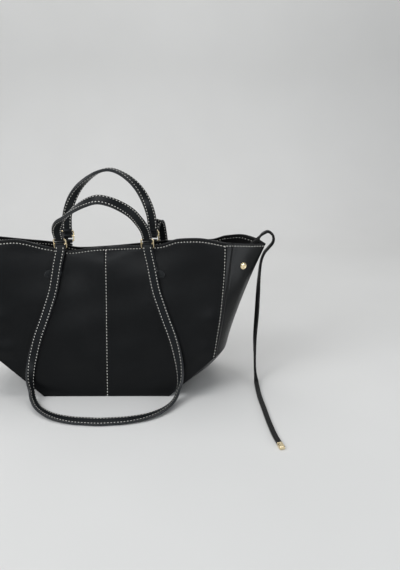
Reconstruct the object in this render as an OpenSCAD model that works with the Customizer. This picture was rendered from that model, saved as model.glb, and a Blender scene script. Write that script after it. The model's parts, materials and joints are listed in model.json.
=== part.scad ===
// Trapeze tote bag of smooth leather: winged body, two short handles, two long carrying
// straps on three-bar rings, wing snaps and a side lace.
// Millimetres, +Z up, the front faces -Y, the origin is the middle of the base on the ground.

/* [Body] */
// Length of the flat base, end to end
base_w = 216; // [170:2:260]
// Depth of the base, front to back
base_d = 150; // [120:2:180]
// Height of the lower corner, where the side turns upright
corner_z = 70; // [55:1:90]
// Width across the two lower corners
corner_w = 372; // [320:2:430]
// Depth between the front and back seams at the lower corner
corner_d = 132; // [110:2:150]
// Width between the two side seams at the mouth
mouth_w = 411; // [380:1:460]
// Depth between the front and back seams at the mouth
mouth_d = 52; // [36:1:80]
// Distance between the front and back faces in the middle of the mouth
mouth_mid = 10; // [9:1:30]
// Sideways shift of the back panel's upper edge
back_slouch = 7; // [0:1:14]

/* [Wings] */
// Width across the side folds at the lower corner
fold_w = 420; // [390:2:460]
// Width from wing tip to wing tip
wing_w = 551; // [500:1:600]
// Pull of the fold line towards the body at half height
fold_pull = 3.5; // [0:0.5:8]
// Roundness of the lower side piece, 2 is a round arch
low_round = 2.1; // [1.6:0.1:3]
// Roundness of the side piece at the mouth, 1 is a sharp fold
top_round = 1.05; // [1:0.05:2]

/* [Mouth edge] */
// Height of the mouth's edge at the middle
rim_mid = 250; // [220:1:280]
// Height of the mouth's edge beside the rings
rim_ring = 255; // [220:1:285]
// Height of the wave between ring and side seam
rim_peak = 268; // [235:1:300]
// Height at the side seam
rim_seam = 262; // [230:1:290]
// Height at the wing tip
rim_tip = 254; // [225:1:285]
// Sag of the front edge left of the middle
front_sag = 6; // [0:1:12]

/* [Leather] */
// Thickness of the body leather
leather = 2; // [1.4:0.1:3]
// Thickness of the facing inside the mouth
facing = 1; // [0.6:0.1:2]
// Thickness of the lining
lining_t = 0.6; // [0.4:0.1:1.2]
// Thickness of the stiffening board in the base
board = 2; // [1:0.2:3]
// Gap between the board and the walls round it
board_gap = 4; // [3:0.5:10]
// Gap between sewn-on pieces and the curved face below them
lay_gap = 0.3; // [0.1:0.02:0.5]

/* [Rings] */
// Radius of the ring wire
wire_r = 1.3; // [1:0.1:1.8]
// Width between the centres of the side bars
ring_w = 20.4; // [19:0.2:28]
// Distance from one cross bar to the next
bar_step = 9; // [8.4:0.1:11]
// Radius of the ring's rounded corners
ring_corner = 3.4; // [2:0.1:4]
// Distance of each ring from the middle of its panel
ring_x = 73.5; // [55:0.5:95]
// Height of the front rings' lower bars
front_bar_z = 250; // [215:0.5:256]
// Height of the back rings' lower bars
back_bar_z = 255.5; // [215:0.5:260]
// Distance of the lower bar from the panel
bar_out = 4.3; // [4.1:0.1:6]
// Lean of the front rings away from the bag
front_ring_lean = 20; // [0:1:30]
// Lean of the back rings away from the bag
back_ring_lean = 8; // [0:1:25]

/* [Chapes and loops] */
// Width of the sewn tabs and of all straps
strap_w = 16; // [12:0.5:17]
// Gap between a ring bar and the leather loop round it
loop_gap = 0.4; // [0.3:0.05:0.8]
// Thickness of the loop round the lower bar
chape_loop = 1.6; // [1.2:0.1:1.8]
// Thickness of the loops of handles and long straps
strap_loop = 1.9; // [1.4:0.1:2]
// Length of a chape below its bar
chape_len = 43; // [30:1:55]
// Slant of a chape away from the middle of the bag
chape_slant = 14; // [0:1:20]
// Thickness of a chape on the panel
chape_t = 3.3; // [2:0.1:4]
// Width of the chape's rounded foot
foot_w = 28; // [20:1:40]
// Shift of the foot away from the middle of the bag
foot_out = 4; // [0:0.5:8]
// Height of the chape's rounded foot
foot_h = 13; // [8:1:18]

/* [Handles] */
// Height of a handle's arch above the ring's upper bar
handle_h = 104; // [70:1:150]
// Thickness of a handle
handle_t = 5; // [3.5:0.1:6]
// Lean of the front handle
front_handle_lean = 40; // [30:1:60]
// Lean of the back handle
back_handle_lean = 2; // [0:1:20]
// Sideways shift of the front handle's top
front_handle_skew = 5; // [-20:1:20]
// Sag of the front handle's left shoulder
front_handle_drop = 9; // [0:1:15]
// Sideways shift of the back handle's top
back_handle_skew = 2; // [-20:1:20]

/* [Long straps] */
// Thickness of a long strap
strap_t = 4.6; // [3:0.1:5]
// Shift of the strap's middle outwards from the bar it hangs on
strap_out = 1.2; // [0.9:0.1:2]

/* [Snaps] */
// Radius of the snap caps
cap_r = 6.4; // [4:0.1:8]
// Height of the snap caps
cap_h = 2.2; // [1:0.1:3]
// Radius of the snap's post through the leather
post_r = 2; // [1:0.1:2.5]
// Gap between the post and its hole
post_gap = 0.1; // [0.05:0.05:0.3]
// Row of the side piece where the snaps sit, 0 at the corner and 1 at the mouth
snap_at = 0.8; // [0.5:0.005:0.9]
// Place of the snaps between the fold, 0, and the seam, 1
snap_out = 0.53; // [0.3:0.01:0.8]
// Gap between the facing and what sits on its inner face
seat_gap = 0.75; // [0.3:0.05:1]

/* [Side lace] */
// Width of the lace
lace_w = 8; // [5:0.5:10]
// Thickness of the lace
lace_t = 4; // [2:0.25:4.5]
// Length of the metal tip
tip_len = 14; // [8:1:20]

/* [Hidden] */
$fn = 24;
low = 6;
high = 9;
last = low + high;
half_u = 8;
half_e = 7;
half_depth = base_d / 2;
slope = atan2(corner_z, (corner_w - base_w) / 2);
fold_line = [[0, 0], [0.2, 0.05], [0.37, 0.155], [0.53, 0.285], [0.69, 0.45], [0.85, 0.68], [1, 1]];
pitch = atan2(half_depth - mouth_mid / 2, rim_seam);
bore_r = wire_r + loop_gap;

function unit(v) = v / norm(v);
function mix(a, b, k) = a + (b - a) * k;
function part(i) = max(i - low, 0) / high;

// Corner offset for one millimetre of depth, as [x, z].
function mitre(i) =
    i < 0.5 ? [-(1 - cos(slope)) / sin(slope), 1] :
    i < low - 0.5 ? [-sin(slope), cos(slope)] :
    i < low + 0.5 ? [-1, (1 - sin(slope)) / cos(slope)] :
    [-(1 - 0.82 * part(i)), 0];

// Side seam of row i, a point with its half depth: [x, z, half depth].
function seam(i, d) =
    let (t = part(i), m = mitre(i), k = min(i / low, 1))
    [mix(mix(base_w, corner_w, k), mouth_w, i > low ? 1 - pow(1 - t, 2) : 0) / 2 + m[0] * d,
     mix(corner_z * k, rim_seam, t) + m[1] * d,
     mix(mix(base_d, corner_d, k), mouth_d, t) / 2 - d];

// Fold in the middle of the side piece, at y = 0: [x, z].
function fold(i, d) =
    let (t = part(i), n = min(floor(i), low - 1), k = min(i, low) - n)
    let (f = mix(fold_line[n], fold_line[n + 1], k))
    let (a = 70 * min(i / low, 1))
    [mix(mix(base_w, fold_w, f[0]), wing_w, t) / 2 - fold_pull * 4 * t * (1 - t)
        - d * (sin(a) + 2 * t),
     mix((corner_z + 2) * f[1], rim_tip, t) + d * cos(a) * (1 - t)];

// Height of the mouth's edge over the unbent seam line, x runs over the whole mouth.
function rim(x, side) =
    lookup(x / (mouth_w / 2), side < 0
        ? [[-1.35, rim_tip], [-1, rim_seam], [-0.75, rim_peak - 2], [-0.48, rim_ring - 3],
           [-0.28, rim_mid - front_sag], [-0.12, rim_mid - 2], [0, rim_mid], [0.3, rim_ring - 2],
           [0.45, rim_ring], [0.62, rim_peak - 2], [0.78, rim_peak], [1, rim_seam],
           [1.2, rim_seam - 5], [1.35, rim_tip]]
        : [[-1.35, rim_tip], [-1, rim_seam], [-0.7, rim_ring + 4], [-0.48, rim_ring + 1],
           [-0.25, rim_mid - 3], [0, rim_mid], [0.3, rim_ring], [0.5, rim_ring + 3],
           [0.88, rim_ring + 2], [1, rim_seam], [1.15, rim_peak - 1], [1.26, rim_seam + 1],
           [1.35, rim_tip]]);

// A point of the front (-1) or back (1) panel: u across from -1 to 1, row i, depth d.
function panel(side, u, i, d) =
    let (s = seam(i, d), t = part(i))
    let (yc = mix(half_depth, mouth_mid / 2, (s[1] - mitre(i)[1] * d) / rim_seam) - d)
    [u * s[0] + (side > 0 ? back_slouch * t * t * (1 - u * u) : 0),
     side * mix(yc, s[2], u * u),
     s[1] + t * t * (rim(u * mouth_w / 2, side) - rim_seam)];

// A point of the left (-1) or right (1) side piece: e from -1 at the front to 1 at the back.
function side_piece(hand, e, i, d) =
    let (s = seam(i, d), f = fold(i, d), t = part(i))
    let (g = 1 - pow(abs(e), mix(low_round, top_round, t)))
    [hand * mix(s[0], f[0], g), e * s[2],
     mix(s[1], f[1], g) + t * t * (rim(hand * mix(mouth_w, wing_w, g) / 2, e > 0 ? 1 : -1)
        - mix(rim_seam, rim_tip, g))];

// Columns round the bag: front panel, right side piece, back panel, left side piece.
front_0 = 0;
right_0 = 2 * half_u;
back_0 = right_0 + 2 * half_e;
left_0 = back_0 + 2 * half_u;
around = left_0 + 2 * half_e;
function wall_at(c, i, d) =
    c <= right_0 ? panel(-1, c / half_u - 1, i, d) :
    c <= back_0 ? side_piece(1, (c - right_0) / half_e - 1, i, d) :
    c <= left_0 ? panel(1, 1 - (c - back_0) / half_u, i, d) :
    side_piece(-1, 1 - (c - left_0) / half_e, i, d);

// Closed sheet between two grids of points, a outside and b inside.
module sheet(a, b, loop = false) {
    rows = len(a);
    cols = len(a[0]);
    n = rows * cols;
    span = loop ? cols : cols - 1;
    function at(r, c) = r * cols + c % cols;
    skins = [for (r = [0:rows - 2]) for (c = [0:span - 1])
        let (p = at(r, c), q = at(r, c + 1), s = at(r + 1, c + 1), w = at(r + 1, c))
        each [[p, w, s], [p, s, q], [n + p, n + q, n + s], [n + p, n + s, n + w]]];
    top = [for (c = [0:span - 1]) let (p = at(rows - 1, c), q = at(rows - 1, c + 1))
        each [[p, n + p, n + q], [p, n + q, q]]];
    floor_tris = concat(
        [for (k = [1:right_0 - 2]) let (f = k, b = back_0 + right_0 - k)
            each [[f, f + 1, b - 1], [f, b - 1, b]]],
        [for (k = [right_0 - 1:back_0]) if (k > right_0 - 1) [right_0 - 1, k, k + 1]],
        [for (k = [left_0:cols - 1]) [1, k, (k + 1) % cols]], [[1, left_0 - 1, left_0]]);
    foot = loop
        ? concat(floor_tris, [for (f = floor_tris) [n + f[0], n + f[2], n + f[1]]])
        : [for (c = [0:span - 1]) each [[c, c + 1, n + c + 1], [c, n + c + 1, n + c]]];
    ends = loop ? [] : [for (r = [0:rows - 2])
        let (p = at(r, 0), q = at(r + 1, 0), s = at(r, cols - 1), w = at(r + 1, cols - 1))
        each [[p, n + p, n + q], [p, n + q, q], [s, w, n + w], [s, n + w, n + s]]];
    polyhedron([for (r = a) each r, for (r = b) each r], concat(skins, top, foot, ends));
}

module wall(c0, c1, r0, r1, d0, d1) {
    sheet([for (i = [r0:r1]) [for (c = [c0:c1]) wall_at(c, i, d0)]],
        [for (i = [r0:r1]) [for (c = [c0:c1]) wall_at(c, i, d1)]]);
}

// Solid through a list of closed rings of points.
module rings_solid(rings) {
    m = len(rings[0]);
    n = len(rings);
    polyhedron([for (r = rings) each r], concat(
        [[for (j = [m - 1:-1:0]) j]],
        [[for (j = [0:m - 1]) (n - 1) * m + j]],
        [for (r = [0:n - 2]) for (j = [0:m - 1])
            let (p = r * m + j, q = r * m + (j + 1) % m)
            each [[p, q + m, p + m], [p, q, q + m]]]));
}

// Smooth run through chosen points, k steps for each span.
function bend(a, b, c, d, t) =
    0.5 * (2 * b + (c - a) * t + (2 * a - 5 * b + 4 * c - d) * t * t
        + (3 * b - a - 3 * c + d) * t * t * t);
function smooth(p, k) =
    [for (i = [0:len(p) - 2]) for (j = [0:k - 1])
        bend(p[max(i - 1, 0)], p[i], p[i + 1], p[min(i + 2, len(p) - 1)], j / k),
     p[len(p) - 1]];

// Flat band along stations [x, y, z, nx, ny, nz], with the face's direction in each station.
function xyz(q) = [q[0], q[1], q[2]];
module band(q, w, t, chamfer = 0.8) {
    a = w / 2;
    b = t / 2;
    c = chamfer;
    ring = [[a, b - c], [a - c, b], [c - a, b], [-a, b - c],
        [-a, c - b], [c - a, -b], [a - c, -b], [a, c - b]];
    rings_solid([for (i = [0:len(q) - 1])
        let (p = xyz(q[i]), run = unit(xyz(q[min(i + 1, len(q) - 1)]) - xyz(q[max(i - 1, 0)])))
        let (across = unit(cross(run, [q[i][3], q[i][4], q[i][5]])), face = cross(across, run))
        [for (r = ring) p + across * r[0] + face * r[1]]]);
}

module along_x(r, len) {
    rotate([0, 90, 0]) cylinder(r = r, h = len, center = true);
}

// Leather loop round a ring bar, a little narrower than its strap.
module bar_loop(wall) {
    difference() {
        along_x(bore_r + wall, strap_w - 0.6);
        along_x(bore_r, strap_w + 6);
    }
}

// Where a ring's lower bar lies, and the panel face behind it.
function panel_x(side, hand) = hand * ring_x + (side > 0 ? back_slouch : 0);
function spot(side, x, down, d) =
    let (bar = side < 0 ? front_bar_z : back_bar_z, z = bar - down)
    let (bow = side > 0 ? back_slouch * 0.85 : 0)
    let (t = (z - corner_z) / (rim_seam - corner_z))
    let (fix = t * t * (rim_seam - rim(x - bow, side)))
    let (i = low + high * (z + fix - corner_z) / (rim_seam - corner_z))
    panel(side, (x - bow) / seam(i, 0)[0], i, d);
function face_out(side, hand) = abs(spot(side, panel_x(side, hand), 0, 0)[1]);
function bar_at(side, hand) =
    [panel_x(side, hand), side * (max(face_out(side, -1), face_out(side, 1)) + bar_out),
     side < 0 ? front_bar_z : back_bar_z];
function lean_of(side) = side < 0 ? front_ring_lean : back_ring_lean;
function upper_bar(side, hand, steps) =
    bar_at(side, hand) + steps * bar_step * [0, side * sin(lean_of(side)), cos(lean_of(side))];

function chape_spot(side, hand, across, down) =
    spot(side, panel_x(side, hand) + across + hand * tan(chape_slant) * max(down, 0), down, 0);
module chape(side, hand) {
    drops = [-1, 5, 10, 15, 23, 32, chape_len];
    gap = abs(bar_at(side, hand)[1]) - face_out(side, hand);
    rise = [gap + 3, gap + 2, chape_t + gap / 3, chape_t, chape_t, chape_t, chape_t];
    cols = [-1, -0.5, 0, 0.5, 1];
    out = [for (j = [6:-1:0]) [for (c = cols)
        chape_spot(side, hand, -side * c * strap_w / 2, drops[j])
            + [0, side * rise[j] / cos(pitch), 0]]];
    face = [for (j = [6:-1:0]) [for (c = cols)
        chape_spot(side, hand, -side * c * strap_w / 2, drops[j])
            + [0, side * lay_gap / cos(pitch), 0]]];
    difference() {
        union() {
            sheet(out, face);
            translate(bar_at(side, hand)) along_x(bore_r + chape_loop, strap_w - 0.6);
            chape_foot(side, hand);
        }
        translate(bar_at(side, hand)) along_x(bore_r, strap_w + 6);
    }
}

module chape_foot(side, hand) {
    p = chape_spot(side, hand, hand * foot_out, chape_len);
    up = unit(chape_spot(side, hand, 0, chape_len - 6) - chape_spot(side, hand, 0, chape_len + 6));
    flat = unit(chape_spot(side, hand, 8, chape_len) - chape_spot(side, hand, -8, chape_len));
    out = unit(side * cross(up, flat));
    right = cross(up, out);
    lift = lay_gap * 2.4;
    multmatrix([[right[0], up[0], out[0], p[0] + out[0] * lift],
        [right[1], up[1], out[1], p[1] + out[1] * lift],
        [right[2], up[2], out[2], p[2] + out[2] * lift]])
    linear_extrude(chape_t) hull() {
        translate([-(foot_w - foot_h) / 2, 0]) circle(d = foot_h);
        translate([(foot_w - foot_h) / 2, 0]) circle(d = foot_h);
    }
}

// Three-bar ring, upright on its lower bar.
module ring_form() {
    half = ring_w / 2;
    tall = 2 * bar_step;
    c = ring_corner;
    for (z = [0, tall]) translate([0, 0, z]) along_x(wire_r, ring_w - 2 * c);
    translate([0, 0, bar_step]) along_x(wire_r, ring_w);
    for (s = [-1, 1]) {
        translate([s * half, 0, c]) cylinder(r = wire_r, h = tall - 2 * c);
        for (z = [0, 1])
            translate([s * (half - c), 0, z == 0 ? c : tall - c])
            rotate([90, 0, 0])
            rotate([0, 0, s > 0 ? (z == 0 ? -90 : 0) : (z == 0 ? 180 : 90)])
            rotate_extrude(angle = 90) translate([c, 0]) circle(r = wire_r);
    }
}

module ring(side, hand) {
    translate(bar_at(side, hand)) rotate([-side * lean_of(side), 0, 0]) ring_form();
}

// Handle arch in its own plane: x along the bag, y the height over the bars, twist in degrees.
function arch(side) =
    let (skew = side < 0 ? front_handle_skew : back_handle_skew, h = handle_h, r = ring_x)
    let (drop = side < 0 ? front_handle_drop : 0, foot = bore_r + 0.6)
    [[-r, foot, -90], [-r, 0.09 * h, -90], [-0.975 * r, 0.28 * h, -80],
     [-0.86 * r, 0.51 * h - 0.5 * drop, -58], [skew / 3 - 0.7 * r, 0.7 * h - drop, -36],
     [skew / 2 - 0.5 * r, 0.84 * h - 0.8 * drop, -20],
     [skew - 0.26 * r, 0.955 * h - 0.4 * drop, -6], [skew, h, 0], [skew + 0.24 * r, 0.955 * h, 6],
     [skew / 2 + 0.5 * r, 0.84 * h, 20], [skew / 3 + 0.7 * r, 0.69 * h, 36],
     [0.86 * r, 0.5 * h, 58], [0.965 * r, 0.28 * h, 80], [r, 0.09 * h, 90], [r, foot, 90]];
module handle(side) {
    lean = side < 0 ? front_handle_lean : back_handle_lean;
    mid = (upper_bar(side, -1, 2) + upper_bar(side, 1, 2)) / 2;
    flat = smooth(arch(side), 5);
    turned = [for (i = [0:len(flat) - 1])
        let (p = flat[i], a = flat[max(i - 1, 0)], b = flat[min(i + 1, len(flat) - 1)])
        let (run = unit([b[0] - a[0], 0, b[1] - a[1]]))
        let (plane = [0, 1, 0], within = cross(run, plane))
        let (face = cos(p[2]) * within - sin(p[2]) * plane)
        [p[0], 0, p[1], face[0], face[1], face[2]]];
    translate(mid) rotate([-side * lean, 0, 0])
    union() {
        band(turned, strap_w, handle_t);
        for (h = [-1, 1]) translate([h * ring_x, 0, 0]) bar_loop(strap_loop);
    }
}

// Right half of each long strap as [x, y, z, face x, y, z], from its ring to the middle.
function front_run() =
    let (b = upper_bar(-1, 1, 1))
    [[b[0], b[1] - strap_out - 0.3, b[2] - 1.8, 0, -0.96, 0.27],
     [b[0] + 0.4, b[1] - strap_out - 3.2, b[2] - 11.5, 0, -0.96, 0.27],
     [79, -26, 224, 0, -0.96, 0.27],
     [87, -35.5, 183, 0.05, -0.95, 0.3],
     [96, -42, 155, 0.05, -0.95, 0.3],
     [105, -48.5, 130, 0, -0.95, 0.3],
     [114, -55, 107, -0.1, -0.95, 0.25],
     [121.5, -62, 82, -0.3, -0.9, 0.2],
     [127, -71, 57, -0.6, -0.75, 0.2],
     [128.5, -80, 36, -0.85, -0.45, 0.25],
     [125, -89, 19, -0.95, -0.05, 0.35],
     [118, -104, 9.5, -0.75, 0.2, 0.7],
     [103, -125, 6, -0.4, 0.2, 0.9],
     [78, -144, 4.4, -0.15, 0.05, 0.95],
     [46, -155, 3.8, -0.05, -0.1, 0.98],
     [15, -159, 3.8, 0, -0.15, 0.98],
     [0, -160, 3.8, 0, -0.15, 0.98]];
function back_run() =
    let (b = upper_bar(1, 1, 1))
    [[b[0], b[1] + strap_out + 1.4, b[2] + 1, 0, 0.5, -0.86],
     [b[0] + 1.5, b[1] + strap_out + 8.6, b[2] + 6, 0, 0.6, -0.8],
     [b[0] + 5, b[1] + 17.5, b[2] + 16.5, 0.15, 0.9, -0.4],
     [b[0] + 8.5, b[1] + 24, b[2] + 21, 0.2, 0.3, 0.95],
     [b[0] + 12, b[1] + 30, b[2] + 15, 0.15, 0.95, 0.4],
     [b[0] + 15, b[1] + 34, b[2] - 6, 0.05, 0.98, 0.15],
     [100, 48, 215, 0, 0.98, 0.15],
     [105.5, 54, 170, 0, 0.98, 0.2],
     [112.5, 61, 128, 0, 0.96, 0.2],
     [119.5, 68, 92, -0.2, 0.95, 0.2],
     [125.5, 76, 60, -0.55, 0.8, 0.2],
     [127.5, 84, 37, -0.85, 0.5, 0.25],
     [124.5, 93, 19.5, -0.95, 0.05, 0.35],
     [115, 104, 9.5, -0.75, -0.2, 0.7],
     [98, 121, 6, -0.4, -0.2, 0.9],
     [74, 137, 4.4, -0.15, -0.05, 0.95],
     [43, 147, 3.8, -0.05, 0.1, 0.98],
     [14, 151, 3.8, 0, 0.15, 0.98],
     [0, 152, 3.8, 0, 0.15, 0.98]];
function both_ways(q, shift) =
    let (n = len(q) - 1)
    concat([for (i = [0:n]) q[i]],
        [for (i = [n - 1:-1:0])
            [2 * shift * min(1, max(0, (9 - i) / 3)) - q[i][0],
             q[i][1], q[i][2], -q[i][3], q[i][4], q[i][5]]]);
module long_strap(side) {
    run = smooth(both_ways(side < 0 ? front_run() : back_run(), side < 0 ? 0 : back_slouch), 3);
    union() {
        band(run, strap_w, strap_t);
        for (h = [-1, 1]) translate(upper_bar(side, h, 1)) bar_loop(strap_loop);
    }
}

// Frame on a side piece at e and row i, with z along the outward normal at depth d.
module on_side(hand, e, i, d) {
    p = side_piece(hand, e, i, d);
    across = side_piece(hand, e - 0.04, i, d) - side_piece(hand, e + 0.04, i, d);
    up = side_piece(hand, e, i + 0.3, d) - side_piece(hand, e, i - 0.3, d);
    n = unit(cross(across, up)) * (hand < 0 ? 1 : -1);
    x = unit(across);
    y = cross(n, x);
    multmatrix([[x[0], y[0], n[0], p[0]], [x[1], y[1], n[1], p[1]], [x[2], y[2], n[2], p[2]]])
        children();
}

// Wing snaps.
module on_wing(hand, e) {
    on_side(hand, e * snap_out, low + high * snap_at, 0) children();
}

module inside_wing(hand, e) {
    on_side(hand, e * snap_out, low + high * snap_at, leather + facing) children();
}

module snap_holes(hand) {
    for (e = [-1, 1]) on_wing(hand, e)
        translate([0, 0, -leather - facing - 4])
        cylinder(r = post_r + post_gap, h = leather + facing + 8);
}

module snap_cap(hand, e) {
    on_wing(hand, e) {
        translate([0, 0, 0.3]) rotate_extrude() polygon([[0, 0], [cap_r, 0], [cap_r, 0.5 * cap_h],
            [0.8 * cap_r, 0.85 * cap_h], [0.45 * cap_r, cap_h], [0.2 * cap_r, cap_h],
            [0, 0.8 * cap_h]]);
        translate([0, 0, -leather - facing - 0.4]) cylinder(r = post_r, h = leather + facing + 0.8);
    }
}

module snap_socket(hand) {
    inside_wing(hand, -1) translate([0, 0, -seat_gap - 3]) difference() {
        cylinder(r = 5.2, h = 3);
        translate([0, 0, -1]) cylinder(r = 2.4, h = 3);
    }
}

module snap_stud(hand) {
    inside_wing(hand, 1) translate([0, 0, -seat_gap]) {
        translate([0, 0, -1]) cylinder(r = 5.2, h = 1);
        translate([0, 0, -3]) cylinder(r = 2.1, h = 2.1);
    }
}

// Lace from its anchor inside the right wing, over the edge and down to the ground.
anchor_e = -0.22;
anchor_i = low + 0.88 * high;
anchor_t = 2;
function lace_run() =
    let (a = side_piece(1, anchor_e, anchor_i, leather + facing + seat_gap + anchor_t + lace_t / 2 + 0.4))
    let (b = side_piece(1, anchor_e - 0.1, anchor_i, 0), c = side_piece(1, anchor_e + 0.1, anchor_i, 0))
    let (n = [c[1] - b[1], b[0] - c[0]] / norm([c[0] - b[0], c[1] - b[1]]), lie = lace_t / 2 + 0.4)
    [[a[0] - 1, a[1], a[2] - 5, n[0], n[1], 0], [a[0], a[1], a[2] + 1, n[0], n[1], 0],
     [a[0] + 4, a[1] / 2, a[2] + 11, 0.1, -1, 0], [258.5, -1, 258.5, 0.5, -1, 0],
     [263.5, -0.7, 265.5, 1, -0.4, -0.4], [270.5, 0, 272, 0.6, 0, -1], [279, 0, 275, 0, 0, -1],
     [287, 0, 268, 1, 0, -0.6], [287.5, 0, 257, 1, 0, 0.1], [280.5, 0, 247, 1, 0, -0.6],
     [273.5, 0, 238, 1, 0, -0.2], [268, -1, 222, 1, 0, 0], [265.5, -2, 194, 1, 0.2, 0],
     [264.5, -3, 162, 0.8, 0.6, 0], [263.5, -4, 125, 0.7, 0.7, 0], [261.5, -6, 82, 0.9, 0.4, 0],
     [262, -10, 45, 1, 0, 0], [262.5, -16, 22, 1, -0.1, -0.2], [263.5, -28, 8, 0.8, -0.3, -0.7],
     [264, -46, lie + 1.1, 0.1, -0.1, -1], [265, -80, lie, 0, 0, -1], [268.5, -120, lie, 0, 0, -1],
     [272, -160, lie, 0, 0, -1], [276.5, -195, lie, 0, 0, -1], [281, -216, lie, 0, 0, -1]];

module side_lace() {
    band(smooth(lace_run(), 3), lace_w, lace_t);
}

module lace_tip() {
    q = lace_run()[len(lace_run()) - 1];
    translate([q[0], q[1], q[2]]) rotate([0, 0, 12])
        translate([-lace_w / 2 - 0.3, -tip_len - 0.1, -lace_t / 2 - 0.3])
        cube([lace_w + 0.6, tip_len, lace_t + 0.6]);
}

module lace_anchor(hand) {
    on_side(hand, anchor_e, anchor_i, leather + facing)
        translate([-5, -7, -anchor_t - seat_gap]) cube([10, 14, anchor_t]);
}

module base_panel() {
    ends = concat([for (i = [low:-1:0]) [-1, i]], [for (i = [0:low]) [1, i]]);
    sheet([for (k = ends) [for (c = [-half_e:half_e]) side_piece(k[0], c / half_e, k[1], 0)]],
        [for (k = ends) [for (c = [-half_e:half_e]) side_piece(k[0], c / half_e, k[1], leather)]]);
}

module lining() {
    function depth(i) = i == 0 ? leather + board : leather;
    sheet([for (i = [0:last - 2]) [for (c = [0:around - 1]) wall_at(c, i, depth(i))]],
        [for (i = [0:last - 2]) [for (c = [0:around - 1]) wall_at(c, i, depth(i) + lining_t)]],
        loop = true);
}

module base_board() {
    translate([0, 0, leather])
    linear_extrude(board)
    offset(8) square([base_w - 2 * board_gap - 16, base_d - 2 * board_gap - 16], center = true);
}

module facing_piece(side) {
    // Half the way round the mouth, from fold to fold.
    start = side < 0 ? left_0 + half_e : right_0 + half_e;
    cols = [for (k = [0:2 * (half_u + half_e)]) (start + k) % around];
    difference() {
        sheet([for (i = [last - 2:last]) [for (c = cols) wall_at(c, i, leather)]],
            [for (i = [last - 2:last]) [for (c = cols) wall_at(c, i, leather + facing)]]);
        for (h = [-1, 1]) snap_holes(h);
    }
}

module gusset(hand) {
    c0 = hand > 0 ? right_0 : left_0;
    difference() {
        wall(c0, c0 + 2 * half_e, low, last, 0, leather);
        snap_holes(hand);
    }
}

// One of the four large panels, from column c of the way round.
module large_panel(c) {
    wall(c, c + half_u, 0, last, 0, leather);
}

hide = [0.12, 0.125, 0.13];
gold = [0.83, 0.68, 0.38];

color(hide) base_panel();
color(hide) large_panel(front_0);  // front_panel_left
color(hide) large_panel(half_u);  // front_panel_right
color(hide) large_panel(back_0);  // back_panel_right
color(hide) large_panel(back_0 + half_u);  // back_panel_left
color(hide) gusset(-1);  // gusset_left
color(hide) gusset(1);  // gusset_right
color(hide) facing_piece(-1);  // front_facing
color(hide) facing_piece(1);  // back_facing
color([0.2, 0.19, 0.18]) lining();
color([0.6, 0.5, 0.4]) base_board();
color(hide) chape(-1, -1);  // front_chape_left
color(hide) chape(-1, 1);  // front_chape_right
color(hide) chape(1, -1);  // back_chape_left
color(hide) chape(1, 1);  // back_chape_right
color(gold) ring(-1, -1);  // front_ring_left
color(gold) ring(-1, 1);  // front_ring_right
color(gold) ring(1, -1);  // back_ring_left
color(gold) ring(1, 1);  // back_ring_right
color(hide) handle(-1);  // front_handle
color(hide) handle(1);  // back_handle
color(hide) long_strap(-1);  // front_strap
color(hide) long_strap(1);  // back_strap
color(gold) snap_cap(-1, -1);  // snap_cap_front_left
color(gold) snap_cap(1, -1);  // snap_cap_front_right
color(gold) snap_cap(-1, 1);  // snap_cap_back_left
color(gold) snap_cap(1, 1);  // snap_cap_back_right
color(gold) snap_socket(-1);  // snap_socket_left
color(gold) snap_socket(1);  // snap_socket_right
color(gold) snap_stud(-1);  // snap_stud_left
color(gold) snap_stud(1);  // snap_stud_right
color(hide) lace_anchor(-1);  // lace_anchor_left
color(hide) lace_anchor(1);  // lace_anchor_right
color(hide) side_lace();
color(gold) lace_tip();
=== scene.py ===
# %% [markdown]
# # A winged leather bag with two handles, two long straps and a side lace
#
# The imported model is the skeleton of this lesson. It says where every piece is and what moves.
# Each piece of soft leather is then built again in code, with finer rows of points, rounded
# edges and sewn seams. The metal is rebuilt too, because smooth metal shows every flat facet.

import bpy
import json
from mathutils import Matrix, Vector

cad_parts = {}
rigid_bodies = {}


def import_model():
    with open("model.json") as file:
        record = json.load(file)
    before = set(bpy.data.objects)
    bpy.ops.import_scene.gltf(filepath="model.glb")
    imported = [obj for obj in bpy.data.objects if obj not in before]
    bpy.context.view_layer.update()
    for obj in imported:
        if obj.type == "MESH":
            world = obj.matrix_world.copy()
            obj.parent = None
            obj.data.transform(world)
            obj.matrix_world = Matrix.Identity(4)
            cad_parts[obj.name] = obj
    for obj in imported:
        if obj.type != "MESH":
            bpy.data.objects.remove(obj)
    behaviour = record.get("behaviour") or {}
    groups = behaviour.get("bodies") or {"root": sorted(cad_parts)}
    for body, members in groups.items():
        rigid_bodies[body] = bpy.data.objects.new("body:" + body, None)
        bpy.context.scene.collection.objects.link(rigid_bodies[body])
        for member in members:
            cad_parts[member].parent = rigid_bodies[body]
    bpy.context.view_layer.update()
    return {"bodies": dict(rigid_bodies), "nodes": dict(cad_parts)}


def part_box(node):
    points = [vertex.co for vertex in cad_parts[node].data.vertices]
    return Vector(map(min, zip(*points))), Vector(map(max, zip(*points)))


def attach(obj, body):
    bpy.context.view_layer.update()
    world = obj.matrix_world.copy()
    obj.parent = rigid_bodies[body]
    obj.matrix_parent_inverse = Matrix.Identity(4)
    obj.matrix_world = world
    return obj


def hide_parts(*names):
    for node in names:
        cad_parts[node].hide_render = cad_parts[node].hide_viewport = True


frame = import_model()

import json
import math

import bpy
import numpy as np

MM = 0.001
SIDES = ((-1, "front"), (1, "back"))
HANDS = ((-1, "left"), (1, "right"))


def add_object(name, data):
    made = bpy.data.objects.new(name, data)
    bpy.context.scene.collection.objects.link(made)
    return made


# %% [markdown]
# # The camera
#
# The camera comes first, because a cord may only spread as far as the camera sees. Its place was
# worked out from the photograph: a little right of the middle, above the rim and looking down.
# A 36 mm lens on Blender's 36 mm sensor makes the picture as tall as it is far away.

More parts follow.
